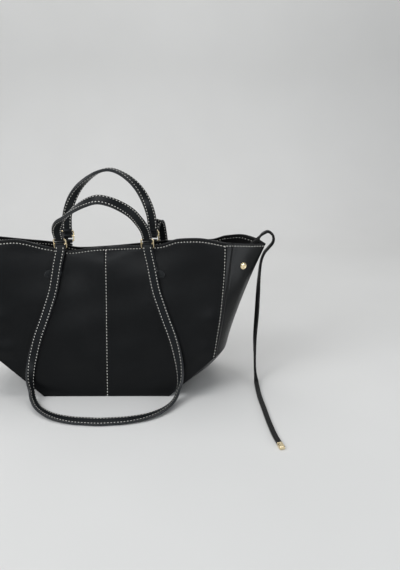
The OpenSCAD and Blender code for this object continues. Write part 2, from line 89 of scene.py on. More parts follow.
# %% Place the camera
LOOK_DOWN = 19.35
LOOK_RIGHT = 0.2

lens = bpy.data.cameras.new("camera")
lens.lens = 36
camera = add_object("camera", lens)
camera.location = (0.159, -0.946, 0.511)
camera.rotation_euler = (math.radians(90 - LOOK_DOWN), 0, math.radians(-LOOK_RIGHT))
bpy.context.scene.camera = camera
print("camera at", tuple(camera.location))

# %% [markdown]
# # From points to a piece
#
# Every piece below starts as points in millimetres. Sculpting or a curve with a bevel would do
# for some, but points from a rule can be measured, moved and cut again at any time.
# The edge value is 1 where leather is cut and painted, and 0 on its face, for the finish to read.

# %% Turn a closed part so that its faces point out
def unit(v):
    return v / np.linalg.norm(v, axis=-1, keepdims=True)


def runs(p, closed=False):
    """The way a line of points runs at each of them."""
    if closed:
        return unit(np.roll(p, -1, 0) - np.roll(p, 1, 0))
    step = np.arange(len(p))
    return unit(p[np.minimum(step + 1, len(p) - 1)] - p[np.maximum(step - 1, 0)])


def outward(points, faces):
    """The faces of one closed part, turned round if they point into it."""
    triangles = np.array([(f[0], f[k], f[k + 1]) for f in faces for k in range(1, len(f) - 1)])
    a, b, c = (points[triangles[:, k]] for k in range(3))
    volume = np.einsum("ij,ij->i", a, np.cross(b, c)).sum()
    return faces if volume > 0 else [tuple(f)[::-1] for f in faces]


def join_parts(*parts):
    """Closed parts, each a list of points, faces and edge values, as one."""
    points, faces, edge, first = [], [], [], 0
    for p, f, e in parts:
        p = np.asarray(p, float).reshape(-1, 3)
        points.append(p)
        faces += [tuple(i + first for i in face) for face in outward(p, f)]
        edge.append(np.asarray(e, float).ravel())
        first += len(p)
    return np.concatenate(points), faces, np.concatenate(edge)


# %% Make a piece and hand it to its body
finishes_wanted = {}


def make_piece(name, body, slot, parts, node):
    """A piece from closed parts, on its body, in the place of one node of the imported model."""
    points, faces, edge = join_parts(*parts)
    mesh = bpy.data.meshes.new(name)
    mesh.from_pydata((points * MM).tolist(), [], faces)
    mark = mesh.attributes.new("edge", "FLOAT", "POINT")
    mark.data.foreach_set("value", edge.astype(np.float32))
    mesh.polygons.foreach_set("use_smooth", [True] * len(mesh.polygons))
    piece = add_object(name, mesh)
    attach(piece, body)
    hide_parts(node)
    finishes_wanted[name] = slot
    print(f"{name}: {len(mesh.polygons)} faces on {body}")
    return piece


# %% [markdown]
# # Bands of leather
#
# Handles, straps and the lace are flat bands that bend and twist. A curve with a bevel twists
# as it likes, so these are swept: each station gives a place and the way the face looks, and
# the section is set across it. Its corners are round, and a groove runs where thread pulls in.

# %% Smooth runs through chosen stations
def smooth_run(stations, steps):
    """A curve through all stations, with so many steps from each to the next."""
    q = np.asarray(stations, float)
    found = []
    for i in range(len(q) - 1):
        a, b, c, d = q[max(i - 1, 0)], q[i], q[i + 1], q[min(i + 2, len(q) - 1)]
        for t in np.arange(steps) / steps:
            found.append(0.5 * (2 * b + (c - a) * t + (2 * a - 5 * b + 4 * c - d) * t * t
                                + (3 * b - a - 3 * c + d) * t ** 3))
    return np.array(found + [q[-1]])


def band_frames(q):
    """Places, ways across and ways out of a band's stations."""
    p = q[:, :3]
    run = runs(p)
    across = unit(np.cross(run, q[:, 3:]))
    return p, across, np.cross(across, run)


# %% The section of a band and its sweep
STITCH_IN = 2.4


def band_section(width, thick, round_by=1.1, groove=0.25, crown=0.15):
    """Points round the section, and 1 for each that lies on a cut edge."""
    a, b = width / 2, thick / 2
    seam = a - STITCH_IN
    xs = [seam * k for k in (0, 0.35, 0.62, 0.85)] + [seam - 0.5, seam, seam + 0.5, a - round_by]
    top = [(x, b + crown * (1 - (x / a) ** 2) - (groove if x == seam else 0)) for x in xs]
    top += [(a - round_by + round_by * math.sin(s), b - round_by + round_by * math.cos(s))
            for s in (0.4, 0.8, 1.2)]
    side = [(a, 0.6 * (b - round_by)), (a - 0.2, 0), (a, -0.6 * (b - round_by))]
    right = top + side + [(x, -y) for x, y in reversed(top)]
    ring = np.array(right + [(-x, y) for x, y in reversed(right)][1:-1])
    return ring, (np.abs(ring[:, 0]) > a - 0.6 * round_by).astype(float)


def hoops(rows, cols, closed=False):
    """Faces between rows of points that each go once round, the last row meeting the first if closed."""
    pairs = [(r * cols, (r + 1) % rows * cols) for r in range(rows if closed else rows - 1)]
    return [(a + c, a + (c + 1) % cols, b + (c + 1) % cols, b + c) for a, b in pairs for c in range(cols)]


def sweep(points_at, edge):
    """A closed solid through rows of points that each go once round."""
    rows, cols = points_at.shape[:2]
    faces = hoops(rows, cols)
    faces += [tuple(range(cols))[::-1], tuple((rows - 1) * cols + c for c in range(cols))]
    return points_at.reshape(-1, 3), faces, np.broadcast_to(edge, (rows, cols)).copy()


def sweep_band(stations, width, thick, **section):
    ring, painted = band_section(width, thick, **section)
    p, across, out = band_frames(stations)
    points = p[:, None] + across[:, None] * ring[None, :, :1] + out[:, None] * ring[None, :, 1:]
    return sweep(points, painted)


# %% [markdown]
# # The side lace
#
# A flat lace is sewn inside the right wing, climbs over its edge, hangs down in a limp line and
# lies on the ground with its last stretch. It is the one free cord, and its path is listed as stations.
# The stations are the solid lace's own, so the two lie in the same place.

# %% Lay the lace
LACE_WIDTH, LACE_THICK = 8, 4
LACE_STATIONS = [
    [237.4, -5.1, 228.6, 0.49, -0.87, 0], [238.4, -5.1, 234.6, 0.49, -0.87, 0],
    [242.4, -2.55, 244.6, 0.1, -1, 0], [258.5, -1, 258.5, 0.5, -1, 0],
    [263.5, -0.7, 265.5, 1, -0.4, -0.4], [270.5, 0, 272, 0.6, 0, -1],
    [279, 0, 275, 0, 0, -1], [287, 0, 268, 1, 0, -0.6],
    [287.5, 0, 257, 1, 0, 0.1], [280.5, 0, 247, 1, 0, -0.6], [273.5, 0, 238, 1, 0, -0.2],
    [268, -1, 222, 1, 0, 0], [265.5, -2, 194, 1, 0.2, 0], [264.5, -3, 162, 0.8, 0.6, 0],
    [263.5, -4, 125, 0.7, 0.7, 0], [261.5, -6, 82, 0.9, 0.4, 0], [262, -10, 45, 1, 0, 0],
    [262.5, -16, 22, 1, -0.1, -0.2], [263.5, -28, 8, 0.8, -0.3, -0.7], [264, -46, 3.5, 0.1, -0.1, -1],
    [265, -80, 2.4, 0, 0, -1], [268.5, -120, 2.4, 0, 0, -1], [272, -160, 2.4, 0, 0, -1],
    [276.5, -195, 2.4, 0, 0, -1], [281, -216, 2.4, 0, 0, -1]]

lace_run = smooth_run(LACE_STATIONS, 8)
lace_band = sweep_band(lace_run, LACE_WIDTH, LACE_THICK, round_by=0.8, groove=0.12)
lace = make_piece("lace_cord", "bag", "lace_leather", [lace_band], "side_lace")

# %% [markdown]
# The lace ends in a small metal sleeve, pressed flat round the leather. It is the same sweep with
# a wider section that narrows at both ends, like a rolled rim.

# %% Press the metal tip onto the lace
TIP_LENGTH, TIP_SPARE = 14, 0.6
TIP_OUTLINE = [(0, 0.84), (0.5, 1), (2, 1), (2.6, 0.93), (3.2, 1), (7, 1),
               (TIP_LENGTH - 1.5, 1), (TIP_LENGTH - 0.4, 0.93), (TIP_LENGTH, 0.75)]
end, before = lace_run[-1, :3], lace_run[-2, :3]
ahead = unit(end - before) * [1, 1, 0]
sleeve = []
for along, wide in TIP_OUTLINE:
    width, thick = (size + TIP_SPARE for size in (LACE_WIDTH, LACE_THICK))
    ring, _ = band_section(width * wide, thick * wide, round_by=1, groove=0)
    centre = end + ahead * along
    sleeve.append(centre + np.outer(ring[:, 0], [ahead[1], -ahead[0], 0]) + np.outer(ring[:, 1], [0, 0, 1]))
tip = make_piece("lace_sleeve", "bag", "gold_hardware", [sweep(np.array(sleeve), 0.0)], "lace_tip")

# %% [markdown]
# # The shape of the bag
#
# The body is one lofted shell. Two seam lines rise on each side: first slanting from the flat
# base to a corner, then upright to the mouth. Between them the side piece folds outwards into a
# wing. Separate plates would gape at the seams, so every piece asks the same rule for its points.
# Rows run from 0 at the base over 6 at the corner to 15 at the mouth, and depth counts inwards.

# %% Sizes of the shell and a smooth curve through a table
LOW, HIGH = 6, 9
LAST = LOW + HIGH
BASE_WIDTH, BASE_DEPTH = 216, 150
CORNER_WIDTH, CORNER_DEPTH, CORNER_HEIGHT = 372, 132, 70
MOUTH_WIDTH, MOUTH_DEPTH, MOUTH_MIDDLE, SEAM_HEIGHT = 411, 52, 10, 262
FOLD_WIDTH, WING_WIDTH, WING_HEIGHT = 420, 551, 254
BACK_SLOUCH = 7
LEATHER, FACING, LINING, BOARD = 2, 1, 0.6, 2
SNUG = 0.05


def mix(a, b, k):
    return a + (b - a) * k


def upper_part(i):
    return np.clip((i - LOW) / HIGH, 0, 1)


def through(x, xs, ys):
    """A smooth curve through a table, which never swings past its values."""
    xs, ys = np.asarray(xs, float), np.asarray(ys, float)
    step, rise = np.diff(xs), np.diff(ys) / np.diff(xs)
    both = rise[1:] * rise[:-1]
    total = np.where(both > 0, rise[1:] + rise[:-1], 1)
    tilt = np.concatenate([rise[:1], np.where(both > 0, 2 * both / total, 0), rise[-1:]])
    x = np.clip(x, xs[0], xs[-1])
    n = np.clip(np.searchsorted(xs, x, side="right") - 1, 0, len(step) - 1)
    t = (x - xs[n]) / step[n]
    return ((2 * t ** 3 - 3 * t ** 2 + 1) * ys[n] + (t ** 3 - 2 * t ** 2 + t) * step[n] * tilt[n]
            + (3 * t ** 2 - 2 * t ** 3) * ys[n + 1] + (t ** 3 - t ** 2) * step[n] * tilt[n + 1])


# %% Seam lines, fold lines and the wavy mouth
FOLD_PULL, FOLD_TURN = 14, 70
LOW_ROUND, TOP_ROUND = 2.1, 1.05
MITRE_FALL = 0.82
ROWS = np.arange(LAST + 1)
lean = math.atan2(CORNER_HEIGHT, (CORNER_WIDTH - BASE_WIDTH) / 2)
MITRE_X = np.array([-(1 - math.cos(lean)) / math.sin(lean)] + [-math.sin(lean)] * 5 + [-1]
                   + [MITRE_FALL * t - 1 for t in np.arange(1, HIGH + 1) / HIGH])
MITRE_Z = np.array([1] + [math.cos(lean)] * 5 + [(1 - math.sin(lean)) / math.cos(lean)] + [0] * HIGH)
t_rows, k_rows = upper_part(ROWS), np.minimum(ROWS / LOW, 1)
fold_along = np.interp(k_rows * LOW, range(7), [0, 0.2, 0.37, 0.53, 0.69, 0.85, 1])
fold_rise = np.interp(k_rows * LOW, range(7), [0, 0.05, 0.155, 0.285, 0.45, 0.68, 1])
FOLD_X = mix(mix(BASE_WIDTH, FOLD_WIDTH, fold_along), WING_WIDTH, t_rows) / 2
FOLD_X -= FOLD_PULL * t_rows * (1 - t_rows)
FOLD_Z = mix((CORNER_HEIGHT + 2) * fold_rise, WING_HEIGHT, t_rows)
MOUTH_FRONT = np.array([
    (-1.35, 254), (-1, 262), (-0.75, 266), (-0.48, 252), (-0.28, 244), (-0.12, 248), (0, 250), (0.3, 253),
    (0.45, 255), (0.62, 266), (0.78, 268), (1, 262), (1.2, 257), (1.35, 254)])
MOUTH_BACK = np.array([
    (-1.35, 254), (-1, 262), (-0.7, 259), (-0.48, 256), (-0.25, 247), (0, 250), (0.3, 255), (0.5, 258),
    (0.88, 257), (1, 262), (1.15, 267), (1.26, 263), (1.35, 254)])


def seam_line(i, d):
    """Across, forward and up on a seam at row i and depth d: x, y, the outer z and the z."""
    t, k = upper_part(i), np.minimum(i / LOW, 1)
    widen = np.where(i > LOW, 1 - (1 - t) ** 2, 0)
    x = mix(mix(BASE_WIDTH, CORNER_WIDTH, k), MOUTH_WIDTH, widen) / 2 + np.interp(i, ROWS, MITRE_X) * d
    z = mix(CORNER_HEIGHT * k, SEAM_HEIGHT, t)
    y = mix(mix(BASE_DEPTH, CORNER_DEPTH, k), MOUTH_DEPTH, t) / 2 - d
    return x, y, z, z + np.interp(i, ROWS, MITRE_Z) * d


def fold_line(i, d):
    """Across and up on the fold of a side at row i and depth d."""
    t, a = upper_part(i), np.radians(FOLD_TURN * np.minimum(i / LOW, 1))
    return (through(i, ROWS, FOLD_X) - d * (np.sin(a) + 2 * t),
            through(i, ROWS, FOLD_Z) + d * np.cos(a) * (1 - t))


def mouth_height(x, side):
    table = MOUTH_FRONT if side < 0 else MOUTH_BACK
    return through(2 * x / MOUTH_WIDTH, table[:, 0], table[:, 1])


# %% Points of the large panels and of the side pieces
def panel(side, u, i, d):
    """A point of the front (-1) or back (1): u from seam to seam, row i, depth d."""
    u, i, d = np.broadcast_arrays(np.asarray(u, float), np.asarray(i, float), np.asarray(d, float))
    x, y, outer_z, z = seam_line(i, d)
    t = upper_part(i)
    middle = mix(BASE_DEPTH / 2, MOUTH_MIDDLE / 2, outer_z / SEAM_HEIGHT) - d
    slouch = BACK_SLOUCH * t * t * (1 - u * u) if side > 0 else 0
    height = z + t * t * (mouth_height(u * MOUTH_WIDTH / 2, side) - SEAM_HEIGHT)
    return np.stack([u * x + slouch, side * mix(middle, y, u * u), height], -1)


def side_piece(hand, e, i, d):
    """A point of the left (-1) or right (1) side: e from the front seam to the back seam."""
    e, i, d = np.broadcast_arrays(np.asarray(e, float), np.asarray(i, float), np.asarray(d, float))
    x, y, _, z = seam_line(i, d)
    fold_x, fold_z = fold_line(i, d)
    t = upper_part(i)
    g = 1 - np.abs(e) ** mix(LOW_ROUND, TOP_ROUND, t)
    reach = hand * mix(MOUTH_WIDTH, WING_WIDTH, g) / 2
    mouth = np.where(e > 0, mouth_height(reach, 1), mouth_height(reach, -1))
    height = mix(z, fold_z, g) + t * t * (mouth - mix(SEAM_HEIGHT, WING_HEIGHT, g))
    return np.stack([hand * mix(x, fold_x, g), e * y, height], -1)


print("wing tip at", side_piece(1, 0, LAST, 0).round(1))

# %% [markdown]
# # Leather that sags and seams that show
#
# Smooth leather over a soft shell is never quite flat: it buckles a little between its seams.
# A cloth simulation could settle it, but the seams have to stay where the solids' are, so a few
# long waves do it, which fade out near each edge. At a seam one edge lies raised over the other,
# and the thread pulls a shallow groove beside it. All heights are in millimetres.

# %% Heights over the rule's surface
ROW_STEP, WING_STEP, SLANT_STEP, WAVE_STEP = 22, 21, 17.5, 20
FACE_SPAN, WING_SPAN, BASE_SPAN = 190, 60, 70
SEAM_STITCH, RIM_STITCH, WING_STITCH = 1.3, 6, 4.6
LAP = 4


def bump_at(s, width):
    """A smooth bump: 1 where s is 0, and almost gone at twice the width."""
    return np.exp(-(s / width) ** 2)


def waves(a, b, seed):
    """Long shallow buckles over two coordinates in millimetres."""
    total = 0
    for n, (size, length) in enumerate(((0.7, 150), (0.45, 92), (0.25, 58))):
        turn = 1.3 * seed + 2.1 * n
        total = total + size * np.sin((a * math.cos(turn) + b * math.sin(turn)) * 2 * math.pi / length + turn)
    return total


def half_width(i):
    return seam_line(np.asarray(i, float), 0)[0]


def panel_height(side, u, i):
    """How far a large panel's face stands over the rule's surface."""
    from_side, from_middle = (1 - np.abs(u)) * half_width(i), np.abs(u) * half_width(i)
    from_top, from_base = (LAST - i) * ROW_STEP, i * SLANT_STEP
    soft = (1 - bump_at(from_side, 22)) * (1 - bump_at(from_top, 14)) * (1 - bump_at(from_base, 20))
    h = waves(u * FACE_SPAN, i * WAVE_STEP, 3 if side < 0 else 5) * soft
    h = h + 2.2 * bump_at(u * FACE_SPAN + 6, 26) * bump_at(from_top - 34, 26) * soft
    creases = bump_at((i - 9) * ROW_STEP, 17) + bump_at((i - 6.6) * ROW_STEP, 15)
    h = h + 2.2 * bump_at(from_side - 20, 15) * creases
    h = h + 0.35 * bump_at(from_side, 5) - 0.15 * bump_at(from_side, 0.3)
    upright = np.clip(i - LOW, 0, 1)
    h = h - 0.3 * upright * bump_at(from_side - SEAM_STITCH, 0.9)
    h = h - 0.8 * bump_at(from_middle, 1.0) - 0.3 * bump_at(u * half_width(i) - SEAM_STITCH, 0.9)
    h = h - 0.3 * bump_at(from_top - RIM_STITCH, 1.0) - 0.6 * bump_at(from_top, 0.45)
    return h - 0.5 * bump_at(from_base, 0.6)


def side_height(hand, e, i):
    """The same for a side piece, whose sewn edge lies raised over the large panel's."""
    depth = seam_line(np.asarray(i, float), 0)[1]
    from_seam, from_top, from_low = (1 - np.abs(e)) * depth, (LAST - i) * WING_STEP, (i - LOW) * WING_STEP
    soft = (1 - bump_at(from_seam, 14)) * (1 - bump_at(from_top, 10)) * (1 - bump_at(e, 0.25))
    h = 0.5 * waves(e * WING_SPAN, i * WAVE_STEP, 7 + hand) * soft
    h = h + 2.6 * bump_at(np.abs(e) - 0.55, 0.28) * bump_at(from_top - 66, 36) * soft
    lapped = np.clip((LAP + 0.3 - from_seam) / 0.6, 0, 1)
    h = h + 0.9 * lapped - 0.35 * bump_at(from_seam, 0.5) - 0.35 * bump_at(from_seam - LAP - 0.9, 0.7)
    h = h - 0.3 * bump_at(from_top - WING_STITCH, 1.0) - 0.6 * bump_at(from_top, 0.45)
    return h + 0.3 * bump_at(from_low, 3)


# %% [markdown]
# # Cutting the panels
#
# A shell has an outer grid of points, an inner one 2 mm deeper, and a strip round the edge. The
# columns stand closer near the seams, where the face bends most, and wider in the middle.

# %% A shell between two depths
NEAR = np.array([0, 0.4, 0.9, 1.5, 2.2, 3.2, 4.2, 5.2, 6, 6.9, 8.4, 11])


def spread(low, high, near_low, near_high, step):
    """Values from low to high, with closer ones near the ends that ask for them."""
    a = low + NEAR * near_low if near_low else np.array([low])
    b = high - NEAR[::-1] * near_high if near_high else np.array([high])
    n = max(2, int(round((b[0] - a[-1]) / step)) + 1)
    return np.concatenate([a, np.linspace(a[-1], b[0], n)[1:-1], b])


def shell(place, columns, rows, outer, inner):
    """Place gives a point from column, row and depth. Outer and inner give each face's depth."""
    u, i = np.meshgrid(columns, rows)
    a, b = place(u, i, outer(u, i)), place(u, i, inner(u, i))
    r, c = u.shape
    at = np.arange(r * c).reshape(r, c)
    quads = np.stack([at[:-1, :-1], at[:-1, 1:], at[1:, 1:], at[1:, :-1]], -1).reshape(-1, 4)
    faces = quads.tolist() + (quads[:, ::-1] + r * c).tolist()
    border = np.concatenate([at[0, :-1], at[:-1, -1], at[-1, :0:-1], at[:0:-1, 0]])
    after = np.roll(border, -1)
    faces += np.stack([border, border + r * c, after + r * c, after], -1).tolist()
    edge = np.zeros((r, c))
    edge[0] = edge[-1] = edge[:, 0] = edge[:, -1] = 1
    return np.concatenate([a.reshape(-1, 3), b.reshape(-1, 3)]), faces, np.tile(edge.ravel(), 2)


def inner_depth(u, i):
    return np.full(np.shape(u), LEATHER - SNUG)


# %% Front and back panels
slant_rows = spread(0, LOW, 1 / SLANT_STEP, 0, 0.26)
panel_rows = np.concatenate([slant_rows, spread(LOW, LAST, 0, 1 / ROW_STEP, 0.2)[1:]])
for side, name in SIDES:
    for hand, word in HANDS:
        columns = spread(0, 1, 1 / FACE_SPAN, 1 / FACE_SPAN, 0.024) * hand
        part = shell(lambda u, i, d: panel(side, u, i, d), columns, panel_rows,
                     lambda u, i: -panel_height(side, u, i), inner_depth)
        make_piece(f"{name}_{word}_body_panel", "bag", "body_leather", [part], f"{name}_panel_{word}")

# %% [markdown]
# The side pieces fold outwards into wings. Near the fold the columns stand close, so that the
# crease stays crisp at the mouth and opens to a round arch at the corner.

# %% Side pieces
fold_columns = spread(0, 1, 0.008, 0.022, 0.045)
side_columns = np.concatenate([-fold_columns[::-1], fold_columns[1:]])
side_rows = spread(LOW, LAST, 1 / WING_STEP, 1 / WING_STEP, 0.2)
for hand, word in HANDS:
    part = shell(lambda e, i, d: side_piece(hand, e, i, d), side_columns, side_rows,
                 lambda e, i: -side_height(hand, e, i), inner_depth)
    make_piece(f"wing_{word}", "bag", "body_leather", [part], f"gusset_{word}")

# %% [markdown]
# The base is one strip. It lies flat on the ground and turns up at both ends, under the slanting
# seams, to the corners. The strip runs from left to right here, so one value counts along it:
# from -7 to -1 up the left end, from -1 to 1 over the flat, and from 1 to 7 up the right end.

# %% Base
def base_place(e, s, d):
    i = np.maximum(np.abs(s) - 1, 0)
    left, right = side_piece(-1, e, i, d), side_piece(1, e, i, d)
    return mix(left, right, np.clip((s + 1) / 2, 0, 1)[..., None])


def base_height(e, s):
    """The strip's sewn edges are pulled in under the panels."""
    from_seam, from_top = (1 - np.abs(e)) * BASE_SPAN, (LOW + 1 - np.abs(s)) * SLANT_STEP
    return -1.0 * bump_at(from_seam, 2.2) - 0.9 * bump_at(from_top, 1.5)


base_columns = spread(-1, 1, 1 / BASE_SPAN, 1 / BASE_SPAN, 0.06)
end_rows = spread(1, LOW + 1, 0, 1 / SLANT_STEP, 0.25)
base_rows = np.concatenate([-end_rows[::-1], np.linspace(-1, 1, 31)[1:-1], end_rows])
base_part = shell(base_place, base_columns, base_rows, lambda e, s: -base_height(e, s), inner_depth)
make_piece("base_and_ends", "bag", "body_leather", [base_part], "base_panel")

# %% [markdown]
# # Inside the mouth
#
# Inside the rim runs a facing of thin leather, and below it a cloth lining that covers the walls
# and the floor. Both follow the same rule at a greater depth, so they touch the outer leather
# and never cross it. One value counts round the bag: 0 to 16 over the front, to 30 round the
# right side, to 46 over the back and to 60 round the left side.

# %% Walk round the bag at a depth
HALF_U, HALF_E = 8, 7
RIGHT_START, BACK_START, LEFT_START, AROUND = 16, 30, 46, 60


def wall(c, i, d):
    """A point of the walls at c round the bag, row i and depth d."""
    c = np.mod(c, AROUND)
    front, back = panel(-1, c / HALF_U - 1, i, d), panel(1, 1 - (c - BACK_START) / HALF_U, i, d)
    right = side_piece(1, np.clip((c - RIGHT_START) / HALF_E - 1, -1, 1), i, d)
    left = side_piece(-1, np.clip(1 - (c - LEFT_START) / HALF_E, -1, 1), i, d)
    c = c[..., None]
    later = np.where(c <= LEFT_START, back, left)
    return np.where(c <= RIGHT_START, front, np.where(c <= BACK_START, right, later))


# %% Facings
FACING_START = LAST - 2
facing_rows = spread(FACING_START, LAST, 1 / ROW_STEP, 1 / ROW_STEP, 0.2)
half_around = AROUND / 2
facing_columns = np.concatenate([
    np.linspace(0, HALF_E, 29), np.linspace(HALF_E, half_around - HALF_E, 61)[1:],
    np.linspace(half_around - HALF_E, half_around, 29)[1:]])


def facing_fall(i):
    """The facing's rim is rounded and its lower edge turned thin."""
    return 0.4 * bump_at((LAST - i) * ROW_STEP, 0.45) + 0.3 * bump_at((i - FACING_START) * ROW_STEP, 0.6)


def facing_inside(c, i):
    groove = 0.2 * bump_at((LAST - i) * ROW_STEP - RIM_STITCH, 1)
    return LEATHER + FACING - facing_fall(i) + groove


for start, name in ((LEFT_START + HALF_E, "front"), (RIGHT_START + HALF_E, "back")):
    part = shell(wall, start + facing_columns, facing_rows,
                 lambda c, i: LEATHER + SNUG + facing_fall(i) * 0.3, facing_inside)
    make_piece(f"{name}_mouth_facing", "bag", "facing_leather", [part], f"{name}_facing")

# %% Lining with its floor
def lining_depth(c, i):
    folds = 0.5 + 0.5 * np.sin(c * 1.9 + 0.7 * i) * np.sin(i * 0.8)
    return LEATHER + 0.1 + BOARD * np.clip(1 - i, 0, 1) + 0.25 * folds


lining_rows = np.concatenate([np.linspace(0, 1, 6), np.linspace(1, FACING_START, 50)[1:]])
lining_wall = shell(wall, np.linspace(0, AROUND, 241), lining_rows, lining_depth,
                    lambda c, i: lining_depth(c, i) + LINING - 0.2)
floor_z = LEATHER + BOARD
floor_half = wall(np.array([HALF_U, RIGHT_START]), 0, floor_z)
floor_across, floor_deep = floor_half[1, 0], -floor_half[0, 1]
lining_floor = shell(lambda u, v, d: np.stack([u * floor_across, v * floor_deep, floor_z + d], -1),
                     np.linspace(-1, 1, 41), np.linspace(-1, 1, 31), lambda u, v: 0.1 + 0 * u,
                     lambda u, v: 0.55 + 0.15 * np.sin(9 * u) * np.sin(7 * v))
make_piece("cloth_lining", "bag", "lining", [lining_wall, lining_floor], "lining")

# %% [markdown]
# # Where things are sewn onto the panels
#
# A tab is placed by its height and its distance from the middle, but the rule wants rows and
# columns. A few steps of correction find them. The metal's places are read from the frame,
# so the leather always meets it: a ring's lower bar is at the lowest point of the ring.

# %% Find a panel's point at a place
HALF_MOUTH = 205


def panel_spot(side, x, z):
    """The face of a panel at this x and this height, waves and all."""
    x, z = np.broadcast_arrays(np.asarray(x, float), np.asarray(z, float))
    u, i = x / HALF_MOUTH, LOW + HIGH * (z - CORNER_HEIGHT) / (SEAM_HEIGHT - CORNER_HEIGHT)
    for _ in range(10):
        p = panel(side, u, i, -panel_height(side, u, i))
        u, i = u + (x - p[..., 0]) / HALF_MOUTH, i + (z - p[..., 2]) / ROW_STEP
    return panel(side, u, i, -panel_height(side, u, i))


# %% Read the rings' bars from the frame
WIRE, BAR_STEP = 1.3, 9
RING_LEAN = {-1: 20, 1: 8}


def ring_bar(side, hand, steps):
    """Middle of a ring's bar: 0 is the lower one, 1 the middle one, 2 the upper one."""
    low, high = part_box(f"{dict(SIDES)[side]}_ring_{dict(HANDS)[hand]}")
    y = high.y / MM - WIRE if side < 0 else low.y / MM + WIRE
    lean = math.radians(RING_LEAN[side])
    foot = np.array([(low.x + high.x) / 2 / MM, y, low.z / MM + WIRE])
    return foot + steps * BAR_STEP * np.array([0, side * math.sin(lean), math.cos(lean)])


for side, name in SIDES:
    print(name, "bars at", [ring_bar(side, 1, k).round(2).tolist() for k in (0, 1, 2)])

# %% [markdown]
# # Tabs that hold the rings
#
# Each ring hangs in a leather loop whose tab runs down the panel and widens to a rounded foot.
# A cut-out plate would float or sink on the curved face, so the tab's outline is laid over the
# panel point by point, and its cut edge is rounded off.

# %% Loops round the bars
STRAP_WIDTH, BORE = 16, 1.7


def loop_round(centre, wall_thick, width=STRAP_WIDTH - 0.6, turns=40):
    """A leather loop round a bar, as a ring of rounded strip."""
    a, inner, outer, r = width / 2, BORE, BORE + wall_thick, 0.5
    x, out = np.array([
        (-a + r, outer), (-a * 0.4, outer + 0.08), (a * 0.4, outer + 0.08), (a - r, outer), (a, outer - r),
        (a, inner + r), (a - r, inner), (-a + r, inner), (-a, inner + r), (-a, outer - r)]).T
    angle = np.linspace(0, 2 * math.pi, turns, endpoint=False)
    points = np.stack([np.broadcast_to(x, (turns, len(x))), np.outer(np.cos(angle), out),
                       np.outer(np.sin(angle), out)], -1) + centre
    painted = (np.abs(x) > a - 0.3).astype(float)
    return points.reshape(-1, 3), hoops(turns, len(x), closed=True), np.tile(painted, turns)


# %% Tabs with their rounded feet
TAB_LENGTH, TAB_SLANT, TAB_THICK = 43, 14, 3.3
FOOT_WIDTH, FOOT_HEIGHT, FOOT_OUT = 28, 13, 4
TAB_END = TAB_LENGTH + FOOT_HEIGHT / 2 - SNUG
TAB_LOOP = 1.6
sewing = {body: [] for body in frame["bodies"]}


def tab_reach(down, away, inset=0):
    """How far the tab reaches sideways, away from the bag's middle (1) or towards it (-1)."""
    foot = np.sqrt(np.clip((FOOT_HEIGHT / 2 - inset) ** 2 - (down - TAB_LENGTH) ** 2, 0, None))
    foot = (FOOT_WIDTH - FOOT_HEIGHT) / 2 + foot + away * FOOT_OUT
    stem = np.where(down < TAB_LENGTH, STRAP_WIDTH / 2 - inset, 0)
    return np.where(np.abs(down - TAB_LENGTH) < FOOT_HEIGHT / 2 - inset, np.maximum(foot, stem), stem)


def tab_place(side, hand, across, down, over):
    """A point over the panel: across the tab, down from the bar, and so far over the face."""
    bar = ring_bar(side, hand, 0)
    aside = hand * math.tan(math.radians(TAB_SLANT)) * np.maximum(down, 0)
    p = panel_spot(side, bar[0] + across + aside, bar[2] - down)
    return p + np.stack([0 * p[..., 0], side * over * 1.03, 0.27 * over * (down > 3)], -1)


def tab_rise(side, hand, down):
    """How far the tab's face stands over the panel: it comes down from the bar to its own thickness."""
    bar = ring_bar(side, hand, 0)
    gap = abs(bar[1]) - np.abs(panel_spot(side, bar[0], bar[2])[..., 1])
    return through(down, [-1, 5, 10, 15, 23, 50], [gap + 3, gap + 2, TAB_THICK + gap / 3] + [TAB_THICK] * 3)


TAB_ROWS = np.array([
    -1, 0.5, 2, 4, 6, 8, 10, 12.5, 15, 18, 21, 24, 27, 30, 33, 35.5, 36.4, 36.55, 36.8, 37.3, 38, 39,
    40.5, 42, 43.5, 45, 46.3, 47.5, 48.3, 48.9, 49.25, TAB_END])
half_columns = np.array([0, 0.2, 0.4, 0.6, 0.75, 0.85, 0.92, 0.97, 1])
TAB_COLUMNS = np.concatenate([-half_columns[:0:-1], half_columns])
for side, name in SIDES:
    for hand, word in HANDS:
        def place(c, down, over, side=side, hand=hand):
            return tab_place(side, hand, c * tab_reach(down, np.sign(c) * hand), down, over)

        def inside(c, down, hand=hand):
            from_side = (1 - np.abs(c)) * tab_reach(down, np.sign(c) * hand)
            return np.minimum(from_side, np.maximum(TAB_END - down, 0))

        def outer(c, down, side=side, hand=hand):
            d = inside(c, down)
            return tab_rise(side, hand, down) - 0.8 * bump_at(d, 0.5) - 0.25 * bump_at(d - STITCH_IN, 0.8)

        points, faces, _ = shell(place, TAB_COLUMNS, TAB_ROWS, outer, lambda c, down: 0.12 + 0 * c)
        # Points within 1 mm of the tab's outline take the lighter edge colour, partly a painted highlight
        # round the tab and its foot.
        patch = (points, faces, np.tile((inside(*np.meshgrid(TAB_COLUMNS, TAB_ROWS)) < 1).ravel(), 2))
        loop = loop_round(ring_bar(side, hand, 0), TAB_LOOP)
        make_piece(f"{name}_{word}_tab", "bag", "strap_leather", [patch, loop], f"{name}_chape_{word}")
        downs = np.linspace(12, 38, 14)
        for edge in (-1, 1):
            across = edge * (STRAP_WIDTH / 2 - STITCH_IN)
            line = tab_place(side, hand, across, downs, tab_rise(side, hand, downs) - 0.12)
            sewing["bag"].append((line, np.broadcast_to([0, side * 0.96, 0.27], line.shape)))

# %% [markdown]
# # Rings
#
# A ring is bent wire with a straight bar across its middle: the tab holds the lower bar, the long
# strap the middle one and the handle the upper one. A torus has no straight sides, so a round
# section is swept along a rounded rectangle.

